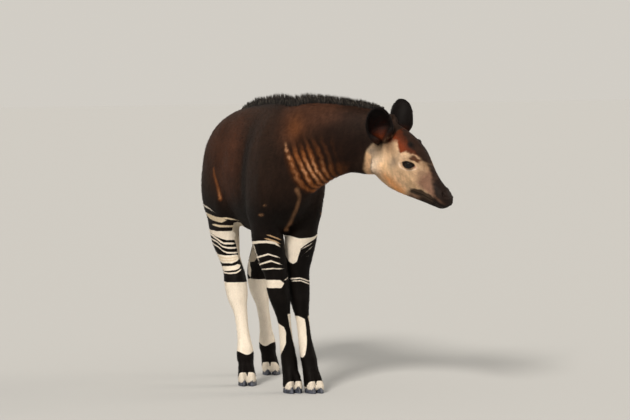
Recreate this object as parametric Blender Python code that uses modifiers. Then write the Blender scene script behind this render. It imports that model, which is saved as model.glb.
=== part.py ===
"""Okapi calf, standing, with its neck stretched level and turned to its left, as a life-size still model.

Units are metres. The calf's trunk lies along Y with its chest towards -Y, +X is its left side and +Z is up.
The shape is worked out from the driving sizes below, about a point on the floor under the withers. At the end
the whole model is moved so that the origin is the middle of its footprint box, on the floor.
"""
from math import cos, pi, radians, sin
from random import Random

import bmesh
import bpy
from mathutils import Matrix, Vector
from mathutils.bvhtree import BVHTree

# Driving sizes of the animal
HEAD_LENGTH = 0.365
EYE_RADIUS = 0.0185
LID_THICKNESS = 0.0028
MOUTH_GROOVE = 0.0024
EAR_LENGTH = 0.145
EAR_HALF_WIDTH = 0.053
EAR_WALL = 0.006
EAR_FLOOR = 0.36
MANE_HEIGHT = 0.036
MANE_LOCKS = 66
TAIL_LOCKS = 9
CLAW_LENGTH = 0.074
CLAW_HALF_WIDTH = 0.0172
CLAW_SPREAD = 0.0190
CORONET_FRONT, CORONET_HEEL = 0.034, 0.023
CUT = 0.0003

# Levels of the cuts that part the legs and the tail
LEG_TOP = 0.566
KNEE_LEVEL = 0.322
HOCK_LEVEL = 0.352
TAIL_CUT = 0.880

# How fine the surface is
VOXEL = 0.0060
SMOOTH_PASSES = 3
BODY_TRIANGLES = 2500
HEAD_TRIANGLES = 1700
LEG_TRIANGLES = 620
LOFT_SIDES = 28
LOFT_STEPS = 4

UP = Vector((0, 0, 1))
BACK = Vector((0, 1, 0))

# The trunk from the breastbone to the buttocks: y, top, bottom, half width, how much wider the top is
TRUNK = (
    (-0.175, 0.900, 0.760, 0.045, 0.00),
    (-0.140, 0.980, 0.690, 0.078, -0.06),
    (-0.080, 1.060, 0.635, 0.098, -0.14),
    (0.000, 1.108, 0.612, 0.108, -0.24),
    (0.100, 1.104, 0.597, 0.120, -0.20),
    (0.220, 1.092, 0.588, 0.136, -0.14),
    (0.340, 1.087, 0.602, 0.144, -0.08),
    (0.440, 1.077, 0.655, 0.148, -0.08),
    (0.530, 1.044, 0.710, 0.141, -0.11),
    (0.600, 0.990, 0.745, 0.110, -0.14),
    (0.640, 0.930, 0.785, 0.062, -0.06),
)

# The neck's middle line: x, y, z, half width, half height
NECK = (
    (0.000, 0.040, 0.900, 0.078, 0.165),
    (0.016, -0.085, 0.925, 0.078, 0.176),
    (0.072, -0.188, 0.961, 0.074, 0.151),
    (0.152, -0.270, 0.976, 0.065, 0.127),
    (0.226, -0.326, 0.966, 0.061, 0.122),
    (0.290, -0.368, 0.955, 0.056, 0.108),
)

# The head along its own axis: distance from the nape, top, bottom, half width, how much wider the top is
HEAD = (
    (-0.045, 0.045, -0.105, 0.044, 0.05),
    (0.000, 0.058, -0.134, 0.055, 0.08),
    (0.050, 0.066, -0.152, 0.063, 0.14),
    (0.100, 0.068, -0.156, 0.067, 0.20),
    (0.150, 0.064, -0.148, 0.066, 0.26),
    (0.200, 0.049, -0.130, 0.052, 0.24),
    (0.245, 0.031, -0.108, 0.042, 0.14),
    (0.290, 0.018, -0.085, 0.037, 0.06),
    (0.325, 0.011, -0.068, 0.038, 0.04),
    (0.350, 0.001, -0.056, 0.033, 0.02),
    (HEAD_LENGTH - 0.002, -0.012, -0.044, 0.020, 0.00),
)
HEAD_AT = Vector((0.271, -0.350, 1.000))
HEAD_TURN, HEAD_PITCH, HEAD_ROLL = radians(44), radians(42), radians(12)
EYE_AT = (0.0490, 0.160, 0.002)

# The legs from the top down: level, half width, half depth, then x and y of the right and of the left leg
FORELEGS = (
    (1.030, 0.0200, 0.0500, -0.0520, 0.040, 0.0520, 0.040),
    (0.930, 0.0340, 0.0880, -0.0760, 0.010, 0.0760, 0.010),
    (0.820, 0.0440, 0.1150, -0.0920, -0.012, 0.0920, -0.012),
    (0.720, 0.0500, 0.1100, -0.0920, 0.000, 0.0920, 0.004),
    (0.640, 0.0530, 0.0800, -0.0765, 0.010, 0.0850, 0.018),
    (0.580, 0.0620, 0.0660, -0.0660, 0.004, 0.0710, 0.018),
    (0.508, 0.0540, 0.0500, -0.0530, -0.007, 0.0605, 0.013),
    (0.469, 0.0470, 0.0450, -0.0425, -0.012, 0.0570, 0.012),
    (0.430, 0.0440, 0.0410, -0.0375, -0.018, 0.0590, 0.010),
    (0.392, 0.0430, 0.0400, -0.0352, -0.022, 0.0602, 0.008),
    (0.356, 0.0395, 0.0380, -0.0270, -0.025, 0.0620, 0.004),
    (0.317, 0.0320, 0.0315, -0.0178, -0.021, 0.0645, -0.004),
    (0.278, 0.0268, 0.0275, -0.0096, -0.017, 0.0680, -0.010),
    (0.239, 0.0262, 0.0270, -0.0037, -0.013, 0.0705, -0.016),
    (0.200, 0.0275, 0.0275, 0.0010, -0.010, 0.0730, -0.023),
    (0.161, 0.0300, 0.0305, 0.0085, -0.007, 0.0775, -0.030),
    (0.125, 0.0315, 0.0325, 0.0150, -0.005, 0.0835, -0.038),
    (0.085, 0.0312, 0.0315, 0.0165, -0.014, 0.0867, -0.047),
    (0.048, 0.0325, 0.0350, 0.0205, -0.025, 0.0930, -0.057),
    (0.012, 0.0330, 0.0370, 0.0215, -0.030, 0.0975, -0.061),
)
HIND_LEGS = (
    (0.970, 0.0300, 0.0600, -0.0700, 0.480, 0.0700, 0.480),
    (0.920, 0.0470, 0.0940, -0.0780, 0.474, 0.0780, 0.474),
    (0.860, 0.0610, 0.1230, -0.0845, 0.466, 0.0845, 0.472),
    (0.780, 0.0680, 0.1540, -0.0950, 0.458, 0.0950, 0.470),
    (0.690, 0.0630, 0.1480, -0.0970, 0.440, 0.1010, 0.468),
    (0.631, 0.0530, 0.1250, -0.0935, 0.440, 0.1040, 0.476),
    (0.591, 0.0530, 0.1040, -0.0910, 0.438, 0.1063, 0.488),
    (0.552, 0.0510, 0.0860, -0.0885, 0.428, 0.1074, 0.502),
    (0.513, 0.0460, 0.0700, -0.0860, 0.413, 0.1047, 0.522),
    (0.475, 0.0400, 0.0580, -0.0825, 0.395, 0.0982, 0.546),
    (0.437, 0.0395, 0.0510, -0.0770, 0.372, 0.0939, 0.564),
    (0.400, 0.0440, 0.0500, -0.0770, 0.350, 0.0978, 0.570),
    (0.362, 0.0440, 0.0440, -0.0770, 0.333, 0.0980, 0.563),
    (0.324, 0.0385, 0.0360, -0.0775, 0.316, 0.1000, 0.553),
    (0.286, 0.0290, 0.0300, -0.0750, 0.300, 0.1040, 0.544),
    (0.248, 0.0255, 0.0280, -0.0746, 0.285, 0.1070, 0.536),
    (0.211, 0.0250, 0.0270, -0.0748, 0.271, 0.1100, 0.527),
    (0.173, 0.0270, 0.0290, -0.0745, 0.256, 0.1105, 0.518),
    (0.136, 0.0335, 0.0320, -0.0750, 0.242, 0.1135, 0.510),
    (0.098, 0.0345, 0.0310, -0.0765, 0.233, 0.1140, 0.503),
    (0.048, 0.0350, 0.0350, -0.0750, 0.224, 0.1200, 0.494),
    (0.012, 0.0355, 0.0370, -0.0730, 0.222, 0.1240, 0.490),
)
# Each foot: x, y and the turn of its toes, in degrees towards its left
FEET = {
    "fore_right": (0.0215, -0.032, 2),
    "fore_left": (0.0975, -0.063, 4),
    "hind_right": (-0.0730, 0.220, -16),
    "hind_left": (0.1240, 0.488, -22),
}

# Each toe from the fetlock down: level, distance from the foot's middle, half width, half depth
TOE = (
    (0.112, 0.0090, 0.0190, 0.0270),
    (0.085, 0.0122, 0.0182, 0.0290),
    (0.060, 0.0156, 0.0170, 0.0325),
    (0.036, 0.0184, 0.0166, 0.0350),
    (0.012, 0.0188, 0.0162, 0.0335),
)

# The tail's middle line: x, y, z, half width, half depth
TAIL = (
    (0.000, 0.585, 0.985, 0.026, 0.022),
    (0.000, 0.648, 0.950, 0.021, 0.018),
    (0.004, 0.685, 0.880, 0.014, 0.013),
    (0.007, 0.694, 0.790, 0.011, 0.011),
    (0.008, 0.693, 0.700, 0.010, 0.010),
    (0.008, 0.690, 0.650, 0.012, 0.012),
    (0.008, 0.688, 0.618, 0.008, 0.008),
)

# An ear from root to tip: place, share of the half width, and the half angle that its cup wraps round
EAR_SHAPE = (
    (0.00, 0.40, 125), (0.16, 0.66, 108), (0.34, 0.92, 90), (0.52, 1.00, 74),
    (0.70, 0.95, 62), (0.86, 0.76, 52), (0.96, 0.46, 44), (1.00, 0.20, 40),
)
# Each ear: place on the head (left, along, up), which way it points and which way its cup opens
EARS = {
    "right": ((-0.059, 0.013, -0.009), (-0.300, -0.420, 0.860), (-0.050, -0.966, 0.050)),
    "left": ((0.054, 0.016, -0.012), (0.240, 0.200, 0.940), (0.829, 0.486, 0.050)),
}

# The line of the mane in plan, from the nape to the loins, and its height as a share of the full height
MANE_LINE = (
    (0.262, -0.350, 0.55), (0.226, -0.326, 0.72), (0.152, -0.270, 0.80), (0.072, -0.188, 0.90),
    (0.016, -0.085, 0.95), (0.000, 0.040, 0.95), (0.000, 0.200, 1.00), (0.000, 0.340, 1.00), (0.000, 0.472, 0.40),
)

# Where the middle of each node of the body is expected, for naming the pieces after the cuts
PIECES = {
    "torso": (0.00, 0.25, 0.85),
    "neck": (0.14, -0.24, 0.98),
    "head": (0.38, -0.45, 0.87),
    "tail": (0.008, 0.69, 0.74),
}

# Each node's colour and roughness, by the start of its name
LOOKS = (
    ("torso", "short_hair_dark_brown", (0.030, 0.014, 0.008), 0.75),
    ("neck", "short_hair_brown", (0.050, 0.022, 0.011), 0.75),
    ("head", "short_hair_pale_grey", (0.330, 0.250, 0.180), 0.75),
    ("tail", "short_hair_brown_tail", (0.040, 0.018, 0.010), 0.75),
    ("foreleg", "short_hair_black_and_white", (0.060, 0.048, 0.040), 0.75),
    ("hindleg", "short_hair_white", (0.480, 0.430, 0.360), 0.75),
    ("ear", "short_hair_black", (0.014, 0.010, 0.009), 0.80),
    ("eye", "wet_eye", (0.010, 0.007, 0.006), 0.10),
    ("hoof", "hoof_horn", (0.055, 0.055, 0.065), 0.45),
)


def between(low, high, share):
    return low + (high - low) * share


def spline(rows, steps):
    """The rows of numbers with smoothly spaced rows added between them, by a Catmull-Rom curve."""
    dense = []
    for index in range(len(rows) - 1):
        before = rows[max(index - 1, 0)]
        start, end = rows[index], rows[index + 1]
        after = rows[min(index + 2, len(rows) - 1)]
        for step in range(steps):
            t = step / steps
            dense.append(tuple(
                0.5 * (2 * b + (c - a) * t + (2 * a - 5 * b + 4 * c - d) * t * t + (3 * b - a - 3 * c + d) * t ** 3)
                for a, b, c, d in zip(before, start, end, after)
            ))
    dense.append(tuple(rows[-1]))
    return dense


def new_mesh(name, bm, collection):
    bmesh.ops.recalc_face_normals(bm, faces=bm.faces)
    mesh = bpy.data.meshes.new(name)
    bm.to_mesh(mesh)
    bm.free()
    made = bpy.data.objects.new(name, mesh)
    collection.objects.link(made)
    return made


def loft(name, stations, up, collection, sides=LOFT_SIDES, steps=LOFT_STEPS):
    """A closed tube of unlike oval sections. A station is x, y, z, half width, half depth and, optionally, lean,
    which widens the section on its up side, or narrows it where it is negative."""
    rows = spline([row if len(row) == 6 else (*row, 0.0) for row in stations], steps)
    bm = bmesh.new()
    rings = []
    for index, (x, y, z, wide, deep, lean) in enumerate(rows):
        ahead, behind = rows[min(index + 1, len(rows) - 1)], rows[max(index - 1, 0)]
        along = (Vector(ahead[:3]) - Vector(behind[:3])).normalized()
        across = along.cross(up).normalized()
        upward = across.cross(along)
        ring = []
        for side in range(sides):
            angle = 2 * pi * side / sides
            offset = across * (wide * sin(angle) * (1 + lean * cos(angle))) + upward * (deep * cos(angle))
            ring.append(bm.verts.new(Vector((x, y, z)) + offset))
        rings.append(ring)
    for ring, following in zip(rings, rings[1:]):
        for side in range(sides):
            bm.faces.new((ring[side], ring[side - 1], following[side - 1], following[side]))
    for end in (rings[0], rings[-1]):
        bm.faces.new(end)
    return new_mesh(name, bm, collection)


def head_axes():
    """The head's own left, along and up directions."""
    ahead = Vector((sin(HEAD_TURN), -cos(HEAD_TURN), 0))
    along = ahead * cos(HEAD_PITCH) - UP * sin(HEAD_PITCH)
    crown = ahead * sin(HEAD_PITCH) + UP * cos(HEAD_PITCH)
    left = crown.cross(along)
    return left * cos(HEAD_ROLL) + crown * sin(HEAD_ROLL), along, crown * cos(HEAD_ROLL) - left * sin(HEAD_ROLL)


def on_head(left, along, up):
    """A point given in the head's own directions."""
    axes = head_axes()
    return HEAD_AT + axes[0] * left + axes[1] * along + axes[2] * up


def head_matrix(point):
    """Puts a shape at a point of the head, with its X, Y and Z along the head's left, length and crown."""
    left, along, crown = head_axes()
    turned = Matrix((left, along, crown)).transposed().to_4x4()
    return Matrix.Translation(on_head(*point)) @ turned


def head_station(row):
    along, top, bottom, half_width, lean = row
    middle = on_head(0, along, (top + bottom) / 2)
    return (*middle, half_width, (top - bottom) / 2, lean)


def trunk_station(row):
    y, top, bottom, half_width, lean = row
    return (0.0, y, (top + bottom) / 2, half_width, (top - bottom) / 2, lean)


def limb_stations(table, side):
    """A leg's stations: the table gives its girths, which both sides share, and each side's middle line."""
    first = 3 if side == "right" else 5
    return [(row[first], row[first + 1], row[0], row[1], row[2]) for row in table]


def leg_middle(table, side, level):
    """The point of a leg's middle line at this level."""
    rows = limb_stations(table, side)
    upper, lower = next((a, b) for a, b in zip(rows, rows[1:]) if a[2] >= level >= b[2])
    share = (upper[2] - level) / (upper[2] - lower[2])
    return Vector(between(a, b, share) for a, b in zip(upper[:3], lower[:3]))


def toe(foot, table, sign, collection):
    """One of the two toes of a foot, from inside the fetlock down to inside the hoof."""
    _, _, turn = FEET[foot]
    ahead = Vector((sin(radians(turn)), -cos(radians(turn)), 0))
    left = Vector((-ahead.y, ahead.x, 0))
    stations = []
    for level, apart, wide, deep in TOE:
        middle = leg_middle(table, foot.split("_")[1], level) + left * (sign * apart)
        stations.append((*middle, wide, deep))
    return loft("toe", stations, -ahead, collection, sides=16, steps=3)


def ball(name, sizes, collection, matrix, segments=16, rings=10):
    """An ellipsoid of three half sizes, placed by the matrix."""
    bm = bmesh.new()
    bmesh.ops.create_uvsphere(bm, u_segments=segments, v_segments=rings, radius=1.0)
    bmesh.ops.scale(bm, vec=sizes, verts=bm.verts)
    bmesh.ops.transform(bm, matrix=matrix, verts=bm.verts)
    return new_mesh(name, bm, collection)


def apply_modifiers(made):
    """Keeps the object's evaluated mesh and drops its modifiers."""
    bpy.context.view_layer.update()
    graph = bpy.context.evaluated_depsgraph_get()
    mesh = bpy.data.meshes.new_from_object(made.evaluated_get(graph))
    made.modifiers.clear()
    made.data = mesh


def boolean(made, operation, other=None, collection=None, solver="EXACT"):
    modifier = made.modifiers.new(operation.title(), "BOOLEAN")
    modifier.operation = operation
    modifier.solver = solver
    if collection is not None:
        modifier.operand_type = "COLLECTION"
        modifier.collection = collection
    else:
        modifier.object = other
    apply_modifiers(made)


def remove(made):
    mesh = made.data
    bpy.data.objects.remove(made)
    if mesh is not None and mesh.users == 0:
        bpy.data.meshes.remove(mesh)


def clear(collection):
    for made in list(collection.objects):
        remove(made)
    bpy.data.collections.remove(collection)


def new_collection(name):
    made = bpy.data.collections.new(name)
    bpy.context.scene.collection.children.link(made)
    return made


def fused(name, pieces, collection):
    """The pieces made one smooth closed skin."""
    bm = bmesh.new()
    for piece in pieces:
        bm.from_mesh(piece.data)
        remove(piece)
    mesh = bpy.data.meshes.new(name)
    bm.to_mesh(mesh)
    bm.free()
    made = bpy.data.objects.new(name, mesh)
    collection.objects.link(made)
    remesh = made.modifiers.new("Skin", "REMESH")
    remesh.mode = "VOXEL"
    remesh.voxel_size = VOXEL
    smooth = made.modifiers.new("Smooth", "SMOOTH")
    smooth.factor = 0.5
    smooth.iterations = SMOOTH_PASSES
    apply_modifiers(made)
    return made


def is_head(point):
    reach = point - HEAD_AT
    return reach.length < 1.1 * HEAD_LENGTH and reach.dot(head_axes()[1]) > -0.01 and reach.x > -0.1


def thin_out(made, is_thinned, triangles):
    """Cuts the triangles where the test says so to this count, and leaves the rest alone."""
    group = made.vertex_groups.new(name="thinned")
    group.add([vertex.index for vertex in made.data.vertices if is_thinned(vertex.co)], 1.0, "REPLACE")
    counts = [(len(face.vertices) - 2, is_thinned(face.center)) for face in made.data.polygons]
    left_alone = sum(count for count, thinned in counts if not thinned)
    thin = made.modifiers.new("Thin", "DECIMATE")
    thin.ratio = (left_alone + triangles) / sum(count for count, thinned in counts)
    thin.vertex_group = group.name
    apply_modifiers(made)
    made.vertex_groups.clear()


def make_body(collection):
    """The trunk, neck, head and tail with the tops of the legs as one skin, before it is parted."""
    pieces = [
        loft("trunk", [trunk_station(row) for row in TRUNK], UP, collection),
        loft("throat", NECK, UP, collection),
        loft("skull", [head_station(row) for row in HEAD], head_axes()[2], collection),
        loft("dock", TAIL, UP, collection, sides=12),
    ]
    for side in ("right", "left"):
        for table in (FORELEGS, HIND_LEGS):
            rows = limb_stations([row for row in table if row[0] > LEG_TOP - 0.10], side)
            pieces.append(loft("limb", rows, BACK, collection, sides=20, steps=3))
    body = fused("body", pieces, collection)
    thin_out(body, lambda point: not is_head(point), BODY_TRIANGLES)
    thin_out(body, is_head, HEAD_TRIANGLES)
    return body


def make_leg(limb, side, collection):
    """The two nodes of one leg below the level of the belly, parted at the knee or the hock."""
    table, joint = (FORELEGS, KNEE_LEVEL) if limb == "fore" else (HIND_LEGS, HOCK_LEVEL)
    rows = limb_stations([row for row in table if TOE[2][0] < row[0] < LEG_TOP + 0.10], side)
    pieces = [loft("limb", rows, BACK, collection, sides=20, steps=3)]
    pieces += [toe(f"{limb}_{side}", table, sign, collection) for sign in (-1, 1)]
    leg = fused("leg", pieces, collection)
    thin_out(leg, lambda point: True, LEG_TRIANGLES)
    middle, normal, _ = coronet_plane(f"{limb}_{side}")
    cuts = new_collection("cuts")
    slab("above", (0, 0.25, LEG_TOP - CUT / 2 + 0.2), UP, (0.3, 0.6, 0.2), cuts)
    slab("joint", (0, 0.25, joint), UP, (0.3, 0.6, CUT / 2), cuts)
    slab("coronet", middle - normal * (0.05 - CUT), normal, (0.060, 0.060, 0.05), cuts)
    cut_away(leg, cuts)
    pieces = loose_pieces(leg, collection)[:2]
    remove(leg)
    pieces.sort(key=lambda piece: -middle_of(piece).z)
    for piece, level in zip(pieces, ("upper", "lower")):
        piece.name = f"{limb}leg_{side}_{level}"
    return pieces


def eye_matrix(side, outward=0.0):
    left, along, up = EYE_AT
    return head_matrix((side * (left + outward), along, up))


def lip_point(along, share, side):
    """A point on the head's surface: share is how far down the head's side it lies."""
    row = spline(HEAD, 12)
    station = min(row, key=lambda near: abs(near[0] - along))
    _, top, bottom, half_width, lean = station
    angle = share * pi
    left = half_width * sin(angle) * (1 + lean * cos(angle))
    return on_head(side * left, station[0], (top + bottom) / 2 + (top - bottom) / 2 * cos(angle))


def mouth_groove(collection):
    """A thin tube along the line between the lips, from one corner of the mouth round to the other."""
    side_line = ((0.256, 0.640), (0.275, 0.655), (0.295, 0.650), (0.318, 0.640), (0.338, 0.625), (0.352, 0.60))
    line = [lip_point(along, share, -1) for along, share in side_line]
    line.append(on_head(0, HEAD_LENGTH - 0.001, -0.034))
    line += [lip_point(along, share, 1) for along, share in reversed(side_line)]
    stations = [(*point, MOUTH_GROOVE, MOUTH_GROOVE) for point in line]
    return loft("mouth_line", stations, head_axes()[2], collection, sides=6, steps=1)


def cut_face(body, collection):
    """Lids round the eyes, the sockets, the nostrils and the line of the mouth."""
    lids, holes = new_collection("lids"), new_collection("holes")
    for side in (-1, 1):
        lid = EYE_RADIUS + CUT + LID_THICKNESS
        ball("lid", (lid, lid, lid), lids, eye_matrix(side), 14, 8)
        socket = EYE_RADIUS + CUT
        ball("socket", (socket, socket, socket), holes, eye_matrix(side))
        slant = Matrix.Rotation(radians(30), 4, "X")
        ball("lid_opening", (0.014, 0.0178, 0.0118), holes, eye_matrix(side, 0.0130) @ slant, 14, 8)
        nostril = head_matrix((side * 0.0245, 0.3465, -0.0080)) @ Matrix.Rotation(radians(-side * 50), 4, "Z")
        ball("nostril", (0.0050, 0.0130, 0.0065), holes, nostril @ Matrix.Rotation(radians(38), 4, "X"), 12, 6)
    mouth_groove(holes)
    boolean(body, "UNION", collection=lids)
    boolean(body, "DIFFERENCE", collection=holes)
    for helpers in (lids, holes):
        clear(helpers)


def eye(name, side, collection):
    return ball(name, (EYE_RADIUS, EYE_RADIUS, EYE_RADIUS), collection, eye_matrix(side))


def ear(name, side, collection):
    """A cupped shell: an arc that is wrapped nearly shut at the root and opens towards the tip."""
    place, points, opens = EARS[side]
    axis = Vector(points).normalized()
    across = axis.cross(Vector(opens)).normalized()
    out = across.cross(axis)
    root = on_head(*place)
    columns = 10
    bm = bmesh.new()
    grids = []
    for inset in (0.0, 1.0):
        rows = []
        for place_up, share, wrap in spline(EAR_SHAPE, 2):
            half = radians(wrap)
            radius = EAR_HALF_WIDTH * share / sin(min(half, pi / 2))
            wall = inset * max(EAR_WALL * between(1.0, 0.55, place_up), radius * (1.15 - place_up / EAR_FLOOR))
            bow = 0.012 * sin(pi * place_up)
            row = []
            for column in range(columns + 1):
                angle = half * (2 * column / columns - 1)
                reach = max(radius - wall, 0.1 * radius)
                offset = across * (reach * sin(angle)) + out * (radius - reach * cos(angle) - bow)
                lift = axis * (EAR_LENGTH * place_up - EAR_WALL * inset * 0.6 * place_up)
                row.append(bm.verts.new(root + lift + offset))
            rows.append(row)
        grids.append(rows)
    outer, inner = grids
    last = len(outer) - 1
    for row in range(last):
        for column in range(columns):
            corners = [(row, column), (row, column + 1), (row + 1, column + 1), (row + 1, column)]
            bm.faces.new([outer[r][c] for r, c in corners])
            bm.faces.new([inner[r][c] for r, c in reversed(corners)])
        for column in (0, columns):
            bm.faces.new((outer[row][column], inner[row][column], inner[row + 1][column], outer[row + 1][column]))
    for row in (0, last):
        for column in range(columns):
            bm.faces.new((outer[row][column], outer[row][column + 1], inner[row][column + 1], inner[row][column]))
    bmesh.ops.triangulate(bm, faces=bm.faces)
    return new_mesh(name, bm, collection)


def lock(name, root, grows, along, sizes, collection, lean):
    """One flat tapered lock of hair: sizes are its height, half width along the row and half thickness."""
    height, wide, thick = sizes
    grows = grows.normalized()
    side = along.cross(grows).normalized()
    stations = []
    for share, width in ((-0.30, 0.90), (0.45, 1.0), (1.0, 0.26)):
        bend = along * (lean * height * max(share, 0) ** 1.6)
        stations.append((root + grows * (height * share) + bend, width))
    bm = bmesh.new()
    rings = []
    for point, width in stations:
        corners = ((wide, 0), (0, thick), (-wide, 0), (0, -thick))
        rings.append([bm.verts.new(point + along * (a * width) + side * (b * width)) for a, b in corners])
    for ring, following in zip(rings, rings[1:]):
        for corner in range(4):
            bm.faces.new((ring[corner], ring[corner - 1], following[corner - 1], following[corner]))
    bm.faces.new(rings[0])
    bm.faces.new(rings[-1])
    bmesh.ops.triangulate(bm, faces=bm.faces)
    return new_mesh(name, bm, collection)


def grow_mane(body, chance):
    """A row of short upright locks from the nape along the neck and the back."""
    locks = new_collection("mane_locks")
    graph = bpy.context.evaluated_depsgraph_get()
    tree = BVHTree.FromObject(body, graph)
    line = spline(MANE_LINE, 24)
    for number in range(MANE_LOCKS):
        place = (number + 0.5 + chance.uniform(-0.15, 0.15)) / MANE_LOCKS * (len(line) - 2)
        index = int(place)
        x, y, share = (between(a, b, place - index) for a, b in zip(line[index], line[index + 1]))
        along = Vector((line[index + 1][0] - line[index][0], line[index + 1][1] - line[index][1], 0)).normalized()
        hit, normal, _, _ = tree.ray_cast(Vector((x + chance.uniform(-0.002, 0.002), y, 1.5)), -UP)
        grows = UP + normal * 0.5 + along.cross(UP) * chance.uniform(-0.16, 0.16)
        sizes = (MANE_HEIGHT * share * chance.uniform(0.85, 1.1), chance.uniform(0.0140, 0.0175), 0.0042)
        lock("mane", hit, grows, along, sizes, locks, chance.uniform(0.35, 0.75))
    boolean(body, "UNION", collection=locks, solver="MANIFOLD")
    clear(locks)


def grow_tuft(body, chance):
    """Longer locks round the end of the tail."""
    locks = new_collection("tail_locks")
    for number in range(TAIL_LOCKS):
        angle = 2 * pi * (number + chance.uniform(-0.2, 0.2)) / TAIL_LOCKS
        across = Vector((cos(angle), sin(angle), 0))
        root = Vector((0.008, 0.690, 0.655 - 0.012 * (number % 3))) + across * 0.004
        sizes = (chance.uniform(0.046, 0.062), 0.0075, 0.0040)
        lock("tuft", root, across * 0.16 - UP, across.cross(UP), sizes, locks, 0.0)
    boolean(body, "UNION", collection=locks, solver="MANIFOLD")
    clear(locks)


def slab(name, centre, normal, half_sizes, collection):
    """A thin box across the flesh: what it removes is the gap between two nodes."""
    bm = bmesh.new()
    bmesh.ops.create_cube(bm, size=2.0)
    bmesh.ops.scale(bm, vec=half_sizes, verts=bm.verts)
    turned = Vector(normal).to_track_quat("Z", "Y").to_matrix().to_4x4()
    bmesh.ops.transform(bm, matrix=Matrix.Translation(centre) @ turned, verts=bm.verts)
    return new_mesh(name, bm, collection)


def coronet_plane(foot):
    """A point on the plane between leg and hoof, and its normal: it falls from the toe to the heel."""
    x, y, turn = FEET[foot]
    ahead = Vector((sin(radians(turn)), -cos(radians(turn)), 0))
    slope = (CORONET_FRONT - CORONET_HEEL) / CLAW_LENGTH
    middle = Vector((x, y, (CORONET_FRONT + CORONET_HEEL) / 2))
    return middle, (UP - ahead * slope).normalized(), ahead


def cut_away(made, cuts):
    for cutter in list(cuts.objects):
        boolean(made, "DIFFERENCE", other=cutter, solver="MANIFOLD")
    clear(cuts)


def part_body(body, collection):
    """Cuts the body into its nodes, each named by where its middle lies, and drops the scraps."""
    cuts = new_collection("cuts")
    thin = CUT / 2
    slab("below", (0, 0.25, LEG_TOP + thin - 0.2), UP, (0.3, 0.6, 0.2), cuts)
    slab("dock", (0, 0.700, TAIL_CUT), UP, (0.06, 0.036, thin), cuts)
    slab("neck_base", (0.025, -0.115, 0.960), (0.414, -0.774, 0.476), (0.35, 0.35, thin), cuts)
    slab("nape", on_head(0, -0.008, -0.03), (0.711, -0.573, -0.406), (0.20, 0.20, thin), cuts)
    cut_away(body, cuts)
    pieces = loose_pieces(body, collection)
    remove(body)
    nodes = {}
    for name, expected in PIECES.items():
        nearest = min(pieces, key=lambda piece: (middle_of(piece) - Vector(expected)).length)
        pieces.remove(nearest)
        nearest.name = name
        nodes[name] = nearest
    for scrap in pieces:
        remove(scrap)
    return nodes


def loose_pieces(made, collection):
    """Each separate surface of the object as an object of its own, the largest first."""
    bm = bmesh.new()
    bm.from_mesh(made.data)
    bmesh.ops.triangulate(bm, faces=bm.faces)
    bm.faces.ensure_lookup_table()
    unseen = set(bm.faces)
    groups = []
    while unseen:
        queue = [unseen.pop()]
        group = list(queue)
        while queue:
            for edge in queue.pop().edges:
                for face in edge.link_faces:
                    if face in unseen:
                        unseen.remove(face)
                        queue.append(face)
                        group.append(face)
        groups.append(sorted(group, key=lambda face: face.index))
    groups.sort(key=lambda group: (-len(group), group[0].index))
    pieces = []
    for group in groups[:8]:
        numbers = {}
        faces = [[numbers.setdefault(vertex, len(numbers)) for vertex in face.verts] for face in group]
        mesh = bpy.data.meshes.new("piece")
        mesh.from_pydata([vertex.co for vertex in numbers], [], faces)
        piece = bpy.data.objects.new("piece", mesh)
        collection.objects.link(piece)
        pieces.append(piece)
    bm.free()
    return pieces


def box_of(made):
    """The lowest and the highest corner of the object's own box."""
    spots = [vertex.co for vertex in made.data.vertices]
    return [Vector([pick(spot[axis] for spot in spots) for axis in range(3)]) for pick in (min, max)]


def middle_of(made):
    low, high = box_of(made)
    return (low + high) / 2


def claw(name, foot, side, collection):
    """One half of a cloven hoof, flat under the sole, with its wall leaning in towards the coronet."""
    x, y, _ = FEET[foot]
    middle, normal, ahead = coronet_plane(foot)
    left = Vector((-ahead.y, ahead.x, 0))
    bm = bmesh.new()
    rings = []
    points = 18
    for level, swell in ((0.0, 1.0), (0.30, 0.99), (0.65, 0.95), (1.0, 0.90)):
        ring = []
        for number in range(points):
            angle = 2 * pi * number / points
            forward = cos(angle)
            width = CLAW_HALF_WIDTH * sin(angle) * (1 - 0.34 * max(forward, 0) ** 1.5)
            length = CLAW_LENGTH / 2 * forward * swell - CLAW_LENGTH * 0.10 * level * max(forward, 0)
            toe_in = -0.10 * side * max(forward, 0) * CLAW_LENGTH / 2
            out = side * CLAW_SPREAD + toe_in + width * (0.95 if level == 1.0 else swell)
            spot = Vector((x, y, 0)) + ahead * length + left * out
            top = middle.z - (normal.x * (spot.x - middle.x) + normal.y * (spot.y - middle.y)) / normal.z - CUT
            spot.z = top * level
            ring.append(bm.verts.new(spot))
        rings.append(ring)
    for ring, following in zip(rings, rings[1:]):
        for number in range(points):
            bm.faces.new((ring[number - 1], ring[number], following[number], following[number - 1]))
    bm.faces.new(rings[0])
    bm.faces.new(rings[-1])
    bmesh.ops.triangulate(bm, faces=bm.faces)
    return new_mesh(name, bm, collection)


def fit_ear(made, neighbour):
    """Cuts the ear's root by a neighbour's surface, swollen by the gap."""
    swollen = neighbour.copy()
    swollen.data = neighbour.data.copy()
    bpy.context.scene.collection.objects.link(swollen)
    swell = swollen.modifiers.new("Gap", "DISPLACE")
    swell.strength = CUT * 1.5
    swell.mid_level = 0.0
    apply_modifiers(swollen)
    boolean(made, "DIFFERENCE", other=swollen, solver="MANIFOLD")
    remove(swollen)


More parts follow.
